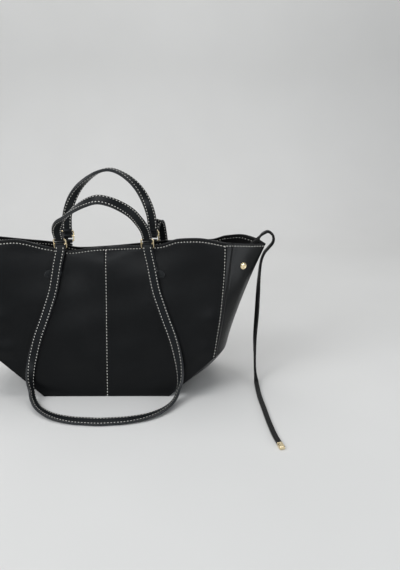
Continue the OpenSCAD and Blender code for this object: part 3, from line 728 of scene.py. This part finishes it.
# %% Bend the rings
RING_HALF, RING_CORNER = 10.2, 3.4


def wire(path, closed):
    """A round wire along a path in the ring's own plane, as x and height."""
    path = np.asarray(path, float)
    run = runs(path, closed)
    angle = np.linspace(0, 2 * math.pi, 20, endpoint=False)
    aside = np.stack([run[:, 1], -run[:, 0]], -1)
    flat = path[:, None] + np.cos(angle)[None, :, None] * aside[:, None] * WIRE
    deep = np.broadcast_to(np.sin(angle) * WIRE, flat.shape[:2])
    points = np.stack([flat[..., 0], deep, flat[..., 1]], -1)
    if closed:
        return points.reshape(-1, 3), hoops(*points.shape[:2], closed=True), np.zeros(points.shape[:2])
    return sweep(points, 0.0)


def leaned(side, degrees):
    """Turns rows of points about the x axis, away from the bag on this side."""
    s, c = math.sin(math.radians(degrees)), math.cos(math.radians(degrees))
    return np.array([[1, 0, 0], [0, c, -side * s], [0, side * s, c]])


rim = []
for x, z, start in ((1, 0, -90), (1, 1, 0), (-1, 1, 90), (-1, 0, 180)):
    centre = (x * (RING_HALF - RING_CORNER), RING_CORNER if z == 0 else 2 * BAR_STEP - RING_CORNER)
    rim += [(centre[0] + RING_CORNER * math.cos(math.radians(start + a)),
             centre[1] + RING_CORNER * math.sin(math.radians(start + a))) for a in range(0, 91, 10)]
cross_bar = [(x * RING_HALF, BAR_STEP) for x in (-1, 0, 1)]
for side, name in SIDES:
    for hand, word in HANDS:
        parts = [(p @ leaned(side, RING_LEAN[side]) + ring_bar(side, hand, 0), faces, edge)
                 for p, faces, edge in (wire(rim, True), wire(cross_bar, False))]
        node = f"{name}_ring_{word}"
        make_piece(f"{name}_{word}_wire_ring", node, "gold_hardware", parts, node)

# %% [markdown]
# # Two handles
#
# Each handle is a flat band whose ends look sideways at the rings and whose top faces outwards,
# so it turns a quarter on the way up. The front one leans forward, and its left half sags. One
# arch is written for both, in its own plane, and then leaned over the bars.

# %% Sew the handles
HANDLE_THICK, STRAP_LOOP = 5, 1.9
HANDLE_LEAN, HANDLE_SKEW, HANDLE_DROP = {-1: 40, 1: 2}, {-1: 5, 1: 2}, {-1: 9, 1: 0}
RING_X, ARCH_HEIGHT, ARCH_START = 73.5, 104, 2.3
# Shares of the width and height, of the skew to the right and of the left half's drop, and the turn
ARCH = [
    (-1, 0.09, 0, 0, -90), (-0.975, 0.28, 0, 0, -80), (-0.86, 0.51, 0, 0.5, -58), (-0.7, 0.7, 1 / 3, 1, -36),
    (-0.5, 0.84, 0.5, 0.8, -20), (-0.26, 0.955, 1, 0.4, -6), (0, 1, 1, 0, 0), (0.24, 0.955, 1, 0, 6),
    (0.5, 0.84, 0.5, 0, 20), (0.7, 0.69, 1 / 3, 0, 36), (0.86, 0.5, 0, 0, 58), (0.965, 0.28, 0, 0, 80),
    (1, 0.09, 0, 0, 90)]


def arch_stations(side):
    """Across, up and turn in the handle's own plane."""
    middle = [[RING_X * x + HANDLE_SKEW[side] * skew, ARCH_HEIGHT * up - HANDLE_DROP[side] * drop, turn]
              for x, up, skew, drop, turn in ARCH]
    return [[-RING_X, ARCH_START, -90]] + middle + [[RING_X, ARCH_START, 90]]


def seam_rows(stations, width, thick, skip):
    """Lines of thread along both edges of both faces of a band."""
    p, across, out = band_frames(stations)
    p, across, out = p[skip:-skip], across[skip:-skip], out[skip:-skip]
    aside, rise = across * (width / 2 - STITCH_IN), out * (thick / 2 - 0.08)
    return [(p + aside * a + rise * b, out * b) for a in (-1, 1) for b in (-1, 1)]


def sew_band(node, piece, stations, thick, side, bar, skip):
    """A band that hangs from one bar of both rings, with its loops and its rows of thread."""
    loops = [loop_round(ring_bar(side, hand, bar), STRAP_LOOP) for hand in (-1, 1)]
    band = sweep_band(stations, STRAP_WIDTH, thick)
    make_piece(piece, node, "strap_leather", [band, *loops], node)
    sewing[node] += seam_rows(stations, STRAP_WIDTH, thick, skip)
    print(f"{node}: {np.linalg.norm(np.diff(stations[:, :3], axis=0), axis=1).sum():.0f} mm")


for side, name in SIDES:
    across, up, turn = smooth_run(arch_stations(side), 12).T
    plane = np.stack([across, 0 * across, up], -1)
    turn = np.radians(turn)[:, None]
    face = np.cos(turn) * np.cross(runs(plane), [0, 1, 0]) - np.sin(turn) * np.array([0, 1, 0])
    tilt = leaned(side, HANDLE_LEAN[side])
    middle = (ring_bar(side, -1, 2) + ring_bar(side, 1, 2)) / 2
    stations = np.concatenate([plane @ tilt + middle, face @ tilt], 1)
    sew_band(f"{name}_handle", f"{name}_arched_handle", stations, HANDLE_THICK, side, 2, 8)

# %% [markdown]
# # Two long straps
#
# The front strap drops from the rings, slants down over the front and lies on the ground in a
# wide bow. The back one first stands up behind the handle and then falls behind the bag. One
# half of each is written down, and the other half is its mirror image.

# %% Let the long straps hang
STRAP_THICK = 4.6
FRONT_RUN = [
    [73.5, -17.8, 256.66, 0, -0.96, 0.27], [73.9, -20.7, 246.96, 0, -0.96, 0.27],
    [79, -26, 224, 0, -0.96, 0.27], [87, -35.5, 183, 0.05, -0.95, 0.3], [96, -42, 155, 0.05, -0.95, 0.3],
    [105, -48.5, 130, 0, -0.95, 0.3], [114, -55, 107, -0.1, -0.95, 0.25],
    [121.5, -62, 82, -0.3, -0.9, 0.2], [127, -71, 57, -0.6, -0.75, 0.2],
    [128.5, -80, 36, -0.85, -0.45, 0.25], [125, -89, 19, -0.95, -0.05, 0.35],
    [118, -104, 9.5, -0.75, 0.2, 0.7], [103, -125, 6, -0.4, 0.2, 0.9],
    [78, -144, 4.4, -0.15, 0.05, 0.95], [46, -155, 3.8, -0.05, -0.1, 0.98],
    [15, -159, 3.8, 0, -0.15, 0.98], [0, -160, 3.8, 0, -0.15, 0.98]]
BACK_RUN = [
    [80.5, 16.14, 265.41, 0, 0.5, -0.86], [82, 23.34, 270.41, 0, 0.6, -0.8],
    [85.5, 31.04, 280.91, 0.15, 0.9, -0.4], [89, 37.54, 285.41, 0.2, 0.3, 0.95],
    [92.5, 43.54, 279.41, 0.15, 0.95, 0.4], [95.5, 47.54, 258.41, 0.05, 0.98, 0.15],
    [100, 48, 215, 0, 0.98, 0.15], [105.5, 54, 170, 0, 0.98, 0.2], [112.5, 61, 128, 0, 0.96, 0.2],
    [119.5, 68, 92, -0.2, 0.95, 0.2], [125.5, 76, 60, -0.55, 0.8, 0.2], [127.5, 84, 37, -0.85, 0.5, 0.25],
    [124.5, 93, 19.5, -0.95, 0.05, 0.35], [115, 104, 9.5, -0.75, -0.2, 0.7], [98, 121, 6, -0.4, -0.2, 0.9],
    [74, 137, 4.4, -0.15, -0.05, 0.95], [43, 147, 3.8, -0.05, 0.1, 0.98], [14, 151, 3.8, 0, 0.15, 0.98],
    [0, 152, 3.8, 0, 0.15, 0.98]]


def mirrored(half, shift):
    """A half run and its mirror image. Near the ring the image is shifted as the ring is."""
    other = [[2 * shift * min(1, max(0, (9 - i) / 3)) - q[0], q[1], q[2], -q[3], q[4], q[5]]
             for i, q in list(enumerate(half))[-2::-1]]
    return half + other


for (side, name), half, shift in zip(SIDES, (FRONT_RUN, BACK_RUN), (0, BACK_SLOUCH)):
    stations = smooth_run(mirrored(half, shift), 9)
    sew_band(f"{name}_strap", f"{name}_long_strap", stations, STRAP_THICK, side, 1, 6)

# %% [markdown]
# # Snaps and lace anchors on the wings
#
# A snap is turned metal, so its outline is spun round an axis that stands square on the wing.
# Spinning can turn a shape inside out, and that is why every part goes through the same test of
# its volume. The cap has a rolled rim and a small dimple. Inside sit a socket and a stud.

# %% Spin parts on the wings
SNAP_OUT, SNAP_ROW = 0.53, LOW + 0.8 * HIGH


def wing_frame(hand, e, i, d):
    """A place on a wing and its directions across, up and out."""
    p = side_piece(hand, e, i, d)
    across = unit(side_piece(hand, e - 0.04, i, d) - side_piece(hand, e + 0.04, i, d))
    up = side_piece(hand, e, i + 0.3, d) - side_piece(hand, e, i - 0.3, d)
    out = unit(np.cross(across, up)) * (1 if hand < 0 else -1)
    return p, np.stack([across, np.cross(out, across), out])


def spun(outline, frame_at, turns=48):
    """A closed part from an outline of radius and height that starts and ends on the axis."""
    p, axes = frame_at
    ring = np.array(outline[1:-1])
    angle = np.linspace(0, 2 * math.pi, turns, endpoint=False)
    body = np.stack([np.outer(ring[:, 0], np.cos(angle)), np.outer(ring[:, 0], np.sin(angle)),
                     np.repeat(ring[:, 1:], turns, 1)], -1).reshape(-1, 3)
    ends = np.array([[0, 0, outline[0][1]], [0, 0, outline[-1][1]]])
    points = np.concatenate([body, ends]) @ axes + p
    faces = hoops(len(ring), turns)
    first, last = len(body), (len(ring) - 1) * turns
    faces += [((c + 1) % turns, c, first) for c in range(turns)]
    faces += [(last + c, last + (c + 1) % turns, first + 1) for c in range(turns)]
    return points, faces, np.zeros(len(points))


CAP = [(0, 1.75), (0.7, 1.78), (1.15, 1.95), (1.5, 2.3), (2, 2.5), (3, 2.52), (4.2, 2.38), (5.2, 2.05),
       (5.9, 1.6), (6.3, 1.1), (6.4, 0.75), (6.3, 0.45), (6, 0.3), (2, 0.3), (2, -3.4), (0, -3.4)]
SOCKET = [(0, -1.75), (2.35, -1.75), (2.4, -3.55), (2.7, -3.75), (4.6, -3.75), (5.1, -3.45), (5.2, -2.95),
          (5.2, 0.2), (5, 0.3), (0, 0.3)]
STUD = [(0, -3.75), (1.6, -3.75), (2, -3.55), (2.1, -3.15), (1.8, -2.35), (1.9, -1.85), (2.4, -1.75),
        (4.9, -1.75), (5.2, -1.55), (5.2, 0.1), (5, 0.3), (0, 0.3)]
for hand, word in HANDS:
    for e, name in SIDES:
        spot = hand, e * SNAP_OUT, SNAP_ROW
        (p, axes), hidden = (wing_frame(*spot, d) for d in (0, LEATHER + FACING))
        lift = (side_piece(*spot, -side_height(*spot)) - p) @ axes[2]
        shown = p + lift * axes[2], axes
        outline, kind = (SOCKET, "socket") if e < 0 else (STUD, "stud")
        for piece, part, node in ((f"{name}_{word}_cap", spun(CAP, shown), f"snap_cap_{name}_{word}"),
                                  (f"{word}_{kind}", spun(outline, hidden), f"snap_{kind}_{word}")):
            make_piece(piece, "bag", "gold_hardware", [part], node)

# %% Lace anchors inside the wings
ANCHOR_OUT, ANCHOR_ROW = -0.22, LOW + 0.88 * HIGH
PATCH_WIDTH, PATCH_THICK, PATCH_HALF = 10, 2.6, 7
for hand, word in HANDS:
    p, (across, up, out) = wing_frame(hand, ANCHOR_OUT, ANCHOR_ROW, LEATHER + FACING)
    centre = p - out * (PATCH_THICK / 2 + 0.15)
    stations = np.array([[*(centre + up * PATCH_HALF * k), *out] for k in (-1, -0.96, -0.8, 0, 0.8, 0.96, 1)])
    patch = sweep_band(stations, PATCH_WIDTH, PATCH_THICK, round_by=0.6, groove=0.1, crown=0.05)
    make_piece(f"{word}_lace_patch", "bag", "lace_leather", [patch], f"lace_anchor_{word}")

# %% [markdown]
# # Seams along the panels
#
# A row of thread runs a few millimetres from each edge. It could be a picture of stitches on the
# leather, but in a raking light real stitches stand proud and cast small shadows. So the seams
# are lines of points first, each with the way its leather faces.

# %% Lines for the thread on the panels
def seam_on(place, a, b, height, over=0.05):
    """Points along a surface at two lists of coordinates, with the ways out of the leather."""
    p = place(a, b, -height(a, b) - over)
    out = unit(place(a, b, -height(a, b) - 1.5) - place(a, b, -height(a, b) + 1.5))
    return p, out


for side in (-1, 1):
    def place(u, i, d, side=side):
        return panel(side, u, i, d)

    def height(u, i, side=side):
        return panel_height(side, u, i)

    for hand in (-1, 1):
        us = hand * np.linspace(0.012, 0.985, 90)
        sewing["bag"].append(seam_on(place, us, 0 * us + LAST - RIM_STITCH / ROW_STEP, height))
        rows = np.linspace(LOW + 0.12, LAST - 0.3, 90)
        sewing["bag"].append(seam_on(place, hand * (1 - SEAM_STITCH / half_width(rows)), rows, height))
    rows = np.linspace(0.2, LAST - 0.33, 140)
    sewing["bag"].append(seam_on(place, SEAM_STITCH / half_width(rows), rows, height))

for hand in (-1, 1):
    for a, b in ((-0.975, -0.05), (0.05, 0.975)):
        es = np.linspace(a, b, 60)
        i = 0 * es + LAST - WING_STITCH / WING_STEP
        sewing["bag"].append(seam_on(lambda e, i, d: side_piece(hand, e, i, d), es, i,
                                     lambda e, i: side_height(hand, e, i)))
print("seams:", {body: len(lines) for body, lines in sewing.items()})

# %% [markdown]
# The same thread shows on the inner side of the mouth, where it holds the facing. Each row ends
# just before the next seam or fold.

# %% Lines for the thread inside the mouth
TURNS = [-HALF_E, 0, HALF_U, RIGHT_START, RIGHT_START + HALF_E, BACK_START, BACK_START + HALF_U, LEFT_START,
         LEFT_START + HALF_E]
for start, stop in zip(TURNS, TURNS[1:]):
    cs = np.linspace(start + 0.1, stop - 0.1, 60)
    i = 0 * cs + LAST - RIM_STITCH / ROW_STEP
    d = LEATHER + FACING
    p, out = wall(cs, i, d - 0.1), unit(wall(cs, i, d + 1) - wall(cs, i, d - 1))
    sewing["bag"].append((p, out))

# %% [markdown]
# # Stitches with Geometry Nodes
#
# Thousands of equal stitches follow those lines, which is work for Geometry Nodes: the lines
# become curves, the curves become points one stitch apart, and each point gets a copy of one
# grain of thread, turned along the line and out of the leather. A fixed seed makes each stitch
# a little different in the same way each time. The copies are made real at the end, because an
# exported model keeps meshes but drops copies.

# %% A shorter way to add nodes
class Wire:
    """A value in a node tree. Sums and products of wires add Math nodes."""

    def __init__(self, tree, socket):
        self.tree, self.socket = tree, socket

    def math(self, operation, *others):
        values = dict(enumerate((self, *others)))
        return add_node(self.tree, "ShaderNodeMath", {"operation": operation}, values)()

    def __add__(self, other):
        return self.math("ADD", other)

    def __mul__(self, other):
        return self.math("MULTIPLY", other)

    def __sub__(self, other):
        return self.math("SUBTRACT", other)

    def __rsub__(self, other):
        return (self * -1) + other

    __radd__, __rmul__ = __add__, __mul__


def add_node(tree, kind, settings=None, sockets=None):
    """A node with its settings, then its socket values or links. Call the result to get an output."""
    made = tree.nodes.new(kind)
    for key, value in (settings or {}).items():
        if key == "stops":
            for n, (position, level) in enumerate(value):
                stop = made.color_ramp.elements[n] if n < 2 else made.color_ramp.elements.new(position)
                stop.position, stop.color = position, (level, level, level, 1)
        else:
            setattr(made, key, value)
    for key, value in (sockets or {}).items():
        if isinstance(value, Wire):
            tree.links.new(value.socket, made.inputs[key])
        else:
            made.inputs[key].default_value = value
    return lambda key=0: Wire(tree, made.outputs[key])


# %% The tree that sews
def sewing_tree():
    tree = bpy.data.node_groups.new("sewing", "GeometryNodeTree")
    tree.is_modifier = True
    tree.interface.new_socket(name="Seams", in_out="INPUT", socket_type="NodeSocketGeometry")
    for name, kind in (("Pitch", "Float"), ("Stitch Size", "Vector"), ("Slant", "Float"),
                       ("Unevenness", "Float"), ("Seed", "Int"), ("Thread", "Material")):
        tree.interface.new_socket(name=name, in_out="INPUT", socket_type="NodeSocket" + kind)
    tree.interface.new_socket(name="Sewn", in_out="OUTPUT", socket_type="NodeSocketGeometry")
    given = add_node(tree, "NodeGroupInput")
    curves = add_node(tree, "GeometryNodeMeshToCurve", None, {"Mesh": given("Seams")})
    points = add_node(tree, "GeometryNodeCurveToPoints", {"mode": "LENGTH"},
                      {"Curve": curves("Curve"), "Length": given("Pitch")})
    face = add_node(tree, "GeometryNodeInputNamedAttribute", {"data_type": "FLOAT_VECTOR"}, {"Name": "face"})
    along = add_node(tree, "FunctionNodeAlignRotationToVector", {"axis": "X"}, {"Vector": points("Tangent")})
    upright = add_node(tree, "FunctionNodeAlignRotationToVector", {"axis": "Z", "pivot_axis": "X"},
                       {"Rotation": along("Rotation"), "Vector": face("Attribute")})
    uneven = add_node(tree, "FunctionNodeRandomValue", {"data_type": "FLOAT"},
                      {"Min": given("Unevenness") * -1, "Max": given("Unevenness"), "Seed": given("Seed")})
    slant = add_node(tree, "FunctionNodeAxisAngleToRotation", None,
                     {"Axis": (0, 0, 1), "Angle": given("Slant") + uneven("Value")})
    turned = add_node(tree, "FunctionNodeRotateRotation", {"rotation_space": "LOCAL"},
                      {"Rotation": upright("Rotation"), "Rotate By": slant("Rotation")})
    ball = add_node(tree, "GeometryNodeMeshUVSphere", None, {"Segments": 8, "Rings": 6, "Radius": 0.5})
    grain = add_node(tree, "GeometryNodeTransform", None,
                     {"Geometry": ball("Mesh"), "Scale": given("Stitch Size")})
    copies = add_node(tree, "GeometryNodeInstanceOnPoints", None, {
        "Points": points("Points"), "Instance": grain("Geometry"), "Rotation": turned("Rotation")})
    real = add_node(tree, "GeometryNodeRealizeInstances", None, {"Geometry": copies("Instances")})
    done = add_node(tree, "GeometryNodeSetMaterial", None,
                    {"Geometry": real("Geometry"), "Material": given("Thread")})
    add_node(tree, "NodeGroupOutput", None, {"Sewn": done("Geometry")})
    return tree


def give(modifier, **values):
    """Sets a modifier's inputs by their sockets' identifiers."""
    for item in modifier.node_group.interface.items_tree:
        key = item.name.replace(" ", "_")
        if item.in_out == "INPUT" and key in values:
            modifier[item.identifier] = values[key]


# %% [markdown]
# # Finishes from numbers
#
# A finish is written as sums and products of textures. All of them read object coordinates, so
# the pattern keeps its size on every piece and stays put when a strap moves.

# %% Start a finish
def new_finish(name, **constants):
    material = bpy.data.materials.new(name)
    material.use_nodes = True
    surface = material.node_tree.nodes["Principled BSDF"]
    for key, value in constants.items():
        surface.inputs[key.replace("_", " ")].default_value = value
    place = add_node(material.node_tree, "ShaderNodeTexCoord")("Object")
    return material, material.node_tree, place, surface


def noise(tree, place, scale, detail=2.0, rough=0.5):
    return add_node(tree, "ShaderNodeTexNoise", None,
                    {"Vector": place, "Scale": scale, "Detail": detail, "Roughness": rough})("Fac")


def blend_colours(tree, factor, a, b):
    """Colour a where the factor is 0 and b where it is 1."""
    made = tree.nodes.new("ShaderNodeMix")
    made.data_type = "RGBA"
    tree.links.new(factor.socket, made.inputs[0])
    for slot, value in ((6, a), (7, b)):
        if isinstance(value, Wire):
            tree.links.new(value.socket, made.inputs[slot])
        else:
            made.inputs[slot].default_value = (*value, 1)
    return Wire(tree, made.outputs[2])


def put(tree, surface, socket, wire):
    tree.links.new(wire.socket, surface.inputs[socket])


def set_bump(tree, surface, height, millimetres, strength=1.0):
    bump = add_node(tree, "ShaderNodeBump", None,
                    {"Strength": strength, "Distance": millimetres * MM, "Height": height})
    put(tree, surface, "Normal", bump("Normal"))


def ramp(tree, value, *stops):
    return add_node(tree, "ShaderNodeValToRGB", {"stops": stops}, {"Fac": value})("Color")


# %% [markdown]
# ## Smooth black calf
#
# The leather is near-black with a cool sheen. Its pores are under a millimetre, so they are only
# a light bump from small cells and noise. Dye takes unevenly, cut edges are painted and glossy,
# and an edge that is rubbed turns a little lighter. Where a cut edge's colour is much lighter than
# the face, as on the body and the straps, that is partly edge paint and partly a painted highlight.

# %% Leather
def leather(name, face, edge, rough, pore=0.05, sheen=0.01):
    """Dyed leather with its own colour on the face and on painted edges. A lighter edge colour is partly a
    painted highlight.
    """
    material, tree, place, surface = new_finish(
        name, Specular_IOR_Level=0.16, Coat_Roughness=0.22, Coat_Weight=0.04,
        Sheen_Weight=sheen, Sheen_Roughness=0.4)
    surface.inputs["Sheen Tint"].default_value = (0.72, 0.82, 1, 1)
    cells = add_node(tree, "ShaderNodeTexVoronoi", {"feature": "DISTANCE_TO_EDGE"},
                     {"Vector": place, "Scale": 1150.0, "Randomness": 1.0})("Distance")
    dye, cloud = noise(tree, place, 22, 3), noise(tree, place, 6, 2)
    fine = noise(tree, place, 2400, 2, 0.6)
    cut = add_node(tree, "ShaderNodeAttribute", {"attribute_name": "edge"})("Fac")
    cut = ramp(tree, cut, (0.35, 0), (0.85, 1))
    rubbed = ramp(tree, noise(tree, place, 70, 3), (0.45, 0), (0.75, 1)) * cut * 0.35
    light = tuple(1.5 * c + 0.002 for c in face)
    shade = blend_colours(tree, dye * 0.6 + cloud * 0.4, face, light)
    # Cut edges take the edge colour. Where it is lighter than the face, it is partly a painted highlight
    # along the edge.
    shade = blend_colours(tree, cut, shade, edge)
    shade = blend_colours(tree, rubbed, shade, (0.07, 0.065, 0.06))
    put(tree, surface, "Base Color", shade)
    put(tree, surface, "Roughness", (dye - 0.5) * 0.12 + rough - cut * 0.14)
    pores = ramp(tree, cells, (0.0, 0), (0.22, 1))
    set_bump(tree, surface, pores * 0.6 + fine * 0.4, pore)
    return material


FINISHES = {
    # The body and strap leathers' edge colours are far lighter than their faces: partly edge paint, partly a
    # painted highlight along the cut edges.
    "body_leather": leather("black_calf", (0.0022, 0.0026, 0.0029), (0.012, 0.0125, 0.013), 0.31),
    "strap_leather": leather("strap_calf", (0.0052, 0.0062, 0.0070), (0.026, 0.028, 0.030), 0.34),
    "facing_leather": leather("facing_calf", (0.0030, 0.0030, 0.0032), (0.006, 0.006, 0.0065), 0.55, 0.07),
    "lace_leather": leather("lace_calf", (0.0035, 0.0035, 0.0037), (0.003, 0.003, 0.0033), 0.4, 0.04),
}

# %% [markdown]
# ## Pale gold, off-white thread, lining cloth and board
#
# Plated metal is a mirror with faint brushing and a few dull spots. Thread is matt and hairy.
# The lining is a plain weave: two sets of fine waves at right angles, one over the other.

# %% Gold
def gold():
    material, tree, place, surface = new_finish("pale_gold", Metallic=1.0)
    spots, fine = noise(tree, place, 130, 3), noise(tree, place, 2600, 2)
    tarnish = ramp(tree, spots, (0.52, 0), (0.78, 1))
    put(tree, surface, "Base Color", blend_colours(tree, tarnish, (0.88, 0.74, 0.48), (0.66, 0.49, 0.26)))
    put(tree, surface, "Roughness", fine * 0.08 + tarnish * 0.14 + 0.16)
    set_bump(tree, surface, fine, 0.006, 0.5)
    return material


# %% Thread
def thread():
    material, tree, place, surface = new_finish(
        "off_white_thread", Specular_IOR_Level=0.25, Sheen_Weight=0.25)
    twist, soil = noise(tree, place, 1500, 2), noise(tree, place, 40, 2)
    shade = blend_colours(tree, soil * 0.5 + twist * 0.5, (0.55, 0.53, 0.48), (0.86, 0.84, 0.78))
    put(tree, surface, "Base Color", shade)
    put(tree, surface, "Roughness", twist * 0.2 + 0.6)
    set_bump(tree, surface, twist, 0.1)
    return material


# %% Cloth and board
def weave(name, dark, pale, pitch, rough):
    """A plain weave whose threads stand pitch millimetres apart."""
    material, tree, place, surface = new_finish(name, Specular_IOR_Level=0.2, Sheen_Weight=0.15)
    apart = add_node(tree, "ShaderNodeSeparateXYZ", None, {"Vector": place})
    x, y, z = apart("X"), apart("Y"), apart("Z")
    turns = 2 * math.pi / (pitch * MM)
    warp = ((x + y) * turns).math("SINE") * 0.5 + 0.5
    weft = ((z + x * 0.5 - y * 0.5) * turns).math("SINE") * 0.5 + 0.5
    woven = warp * weft
    slub = noise(tree, place, 180, 3)
    put(tree, surface, "Base Color", blend_colours(tree, woven * 0.7 + slub * 0.3, dark, pale))
    put(tree, surface, "Roughness", slub * 0.1 + rough)
    set_bump(tree, surface, woven + slub * 0.4, 0.15)
    return material


FINISHES["gold_hardware"] = gold()
FINISHES["lining"] = weave("lining_cloth", (0.016, 0.015, 0.015), (0.035, 0.033, 0.032), 0.9, 0.75)
FINISHES["board"] = weave("pressed_board", (0.2, 0.14, 0.09), (0.34, 0.26, 0.18), 2.2, 0.85)
white_thread = thread()
for name, slot in finishes_wanted.items():
    bpy.data.objects[name].data.materials.append(FINISHES[slot])

# %% Finish the solids that still show
for name, solid in frame["nodes"].items():
    if not solid.hide_render:
        solid.data.materials.clear()
        solid.data.materials.append(FINISHES["board"])
        print("kept solid:", name)

# %% Sew every seam
PITCH, STITCH = 5.2, (2.7, 1.45, 0.95)
SLANT, UNEVENNESS = math.radians(7), math.radians(4)


def seam_guide(name, lines):
    """A mesh of bare lines that keeps the way out of the leather at each point."""
    links, first = [], 0
    for p, _ in lines:
        links += [(first + k, first + k + 1) for k in range(len(p) - 1)]
        first += len(p)
    mesh = bpy.data.meshes.new(name)
    mesh.from_pydata((np.concatenate([p for p, _ in lines]) * MM).tolist(), links, [])
    ways = np.concatenate([np.broadcast_to(out, p.shape) for p, out in lines]).astype(np.float32)
    mesh.attributes.new("face", "FLOAT_VECTOR", "POINT").data.foreach_set("vector", ways.ravel())
    return add_object(name, mesh)


tree = sewing_tree()
for body, lines in sewing.items():
    if not lines:
        continue
    guide = seam_guide("seams_" + body, lines)
    modifier = guide.modifiers.new("sewing", "NODES")
    modifier.node_group = tree
    give(modifier, Pitch=PITCH * MM, Stitch_Size=tuple(s * MM for s in STITCH), Slant=SLANT,
         Unevenness=UNEVENNESS, Seed=7, Thread=white_thread)
    view = bpy.context.evaluated_depsgraph_get()
    sewn = bpy.data.meshes.new_from_object(guide.evaluated_get(view), depsgraph=view)
    sewn.name = "stitches_" + body
    sewn.materials.clear()
    sewn.materials.append(white_thread)
    sewn.polygons.foreach_set("use_smooth", [True] * len(sewn.polygons))
    bpy.data.objects.remove(guide)
    stitches = add_object("stitches_" + body, sewn)
    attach(stitches, body)
    print(f"{stitches.name}: {len(sewn.polygons)} faces")

# %% [markdown]
# # Floor, light and the last line
#
# The bag stands on a plain pale floor that curves up behind it. Smooth black leather is drawn by
# what it mirrors, so the lamps are large and soft, and placed where the photograph shows sheen.

# %% Floor that curves up to a backdrop
FLOOR_HALF, BACK_AT, BACK_TOP, BEND = 3.0, 1.5, 2.6, 0.6
profile = [(-3.5, 0)] + [(BACK_AT - BEND + BEND * math.sin(a), BEND - BEND * math.cos(a))
                         for a in np.linspace(0, math.pi / 2, 25)] + [(BACK_AT, BACK_TOP)]
floor_mesh = bpy.data.meshes.new("floor")
floor_mesh.from_pydata([(s * FLOOR_HALF, y, z) for y, z in profile for s in (-1, 1)], [],
                       [(2 * k, 2 * k + 1, 2 * k + 3, 2 * k + 2) for k in range(len(profile) - 1)])
floor_mesh.polygons.foreach_set("use_smooth", [True] * len(floor_mesh.polygons))
floor = add_object("floor", floor_mesh)
paper, tree, place, surface = new_finish("pale_paper", Roughness=0.9, Specular_IOR_Level=0.1)
cloudy = noise(tree, place, 3, 2)
put(tree, surface, "Base Color", blend_colours(tree, cloudy, (0.62, 0.615, 0.6), (0.68, 0.675, 0.66)))
floor_mesh.materials.append(paper)

# %% Soft lamps
COOL = (0.93, 0.97, 1)


def lamp(name, place, aim, size, watts, tint=(1, 1, 1)):
    """A rectangular lamp at a place, turned to what it lights."""
    data = bpy.data.lights.new(name, "AREA")
    data.shape, data.size, data.size_y = "RECTANGLE", size[0], size[1]
    data.energy, data.color = watts, tint
    made = add_object(name, data)
    made.location = place
    away = np.array(place, float) - np.array(aim, float)
    flat = math.hypot(away[0], away[1])
    made.rotation_euler = (math.atan2(flat, away[2]), 0, math.atan2(away[0], -away[1]))


lamp("window", (-1.3, -1.1, 1.5), (0, 0, 0.15), (1.2, 1.4), 26, (0.96, 0.98, 1))
lamp("room", (1.35, -0.94, 0.36), (0.24, 0, 0.2), (0.2, 0.66), 5.5, COOL)
lamp("front", (-0.32, -1.95, 1.1), (0.02, 0, 0.24), (0.6, 0.3), 5, COOL)
lamp("ceiling", (0, 0.5, 2.2), (0, 0, 0.1), (2.0, 1.6), 26)
world = bpy.data.worlds.new("room_light")
world.use_nodes = True
world.node_tree.nodes["Background"].inputs["Color"].default_value = (0.8, 0.83, 0.88, 1)
world.node_tree.nodes["Background"].inputs["Strength"].default_value = 0.35
bpy.context.scene.world = world
bpy.context.scene.view_settings.view_transform = "Standard"
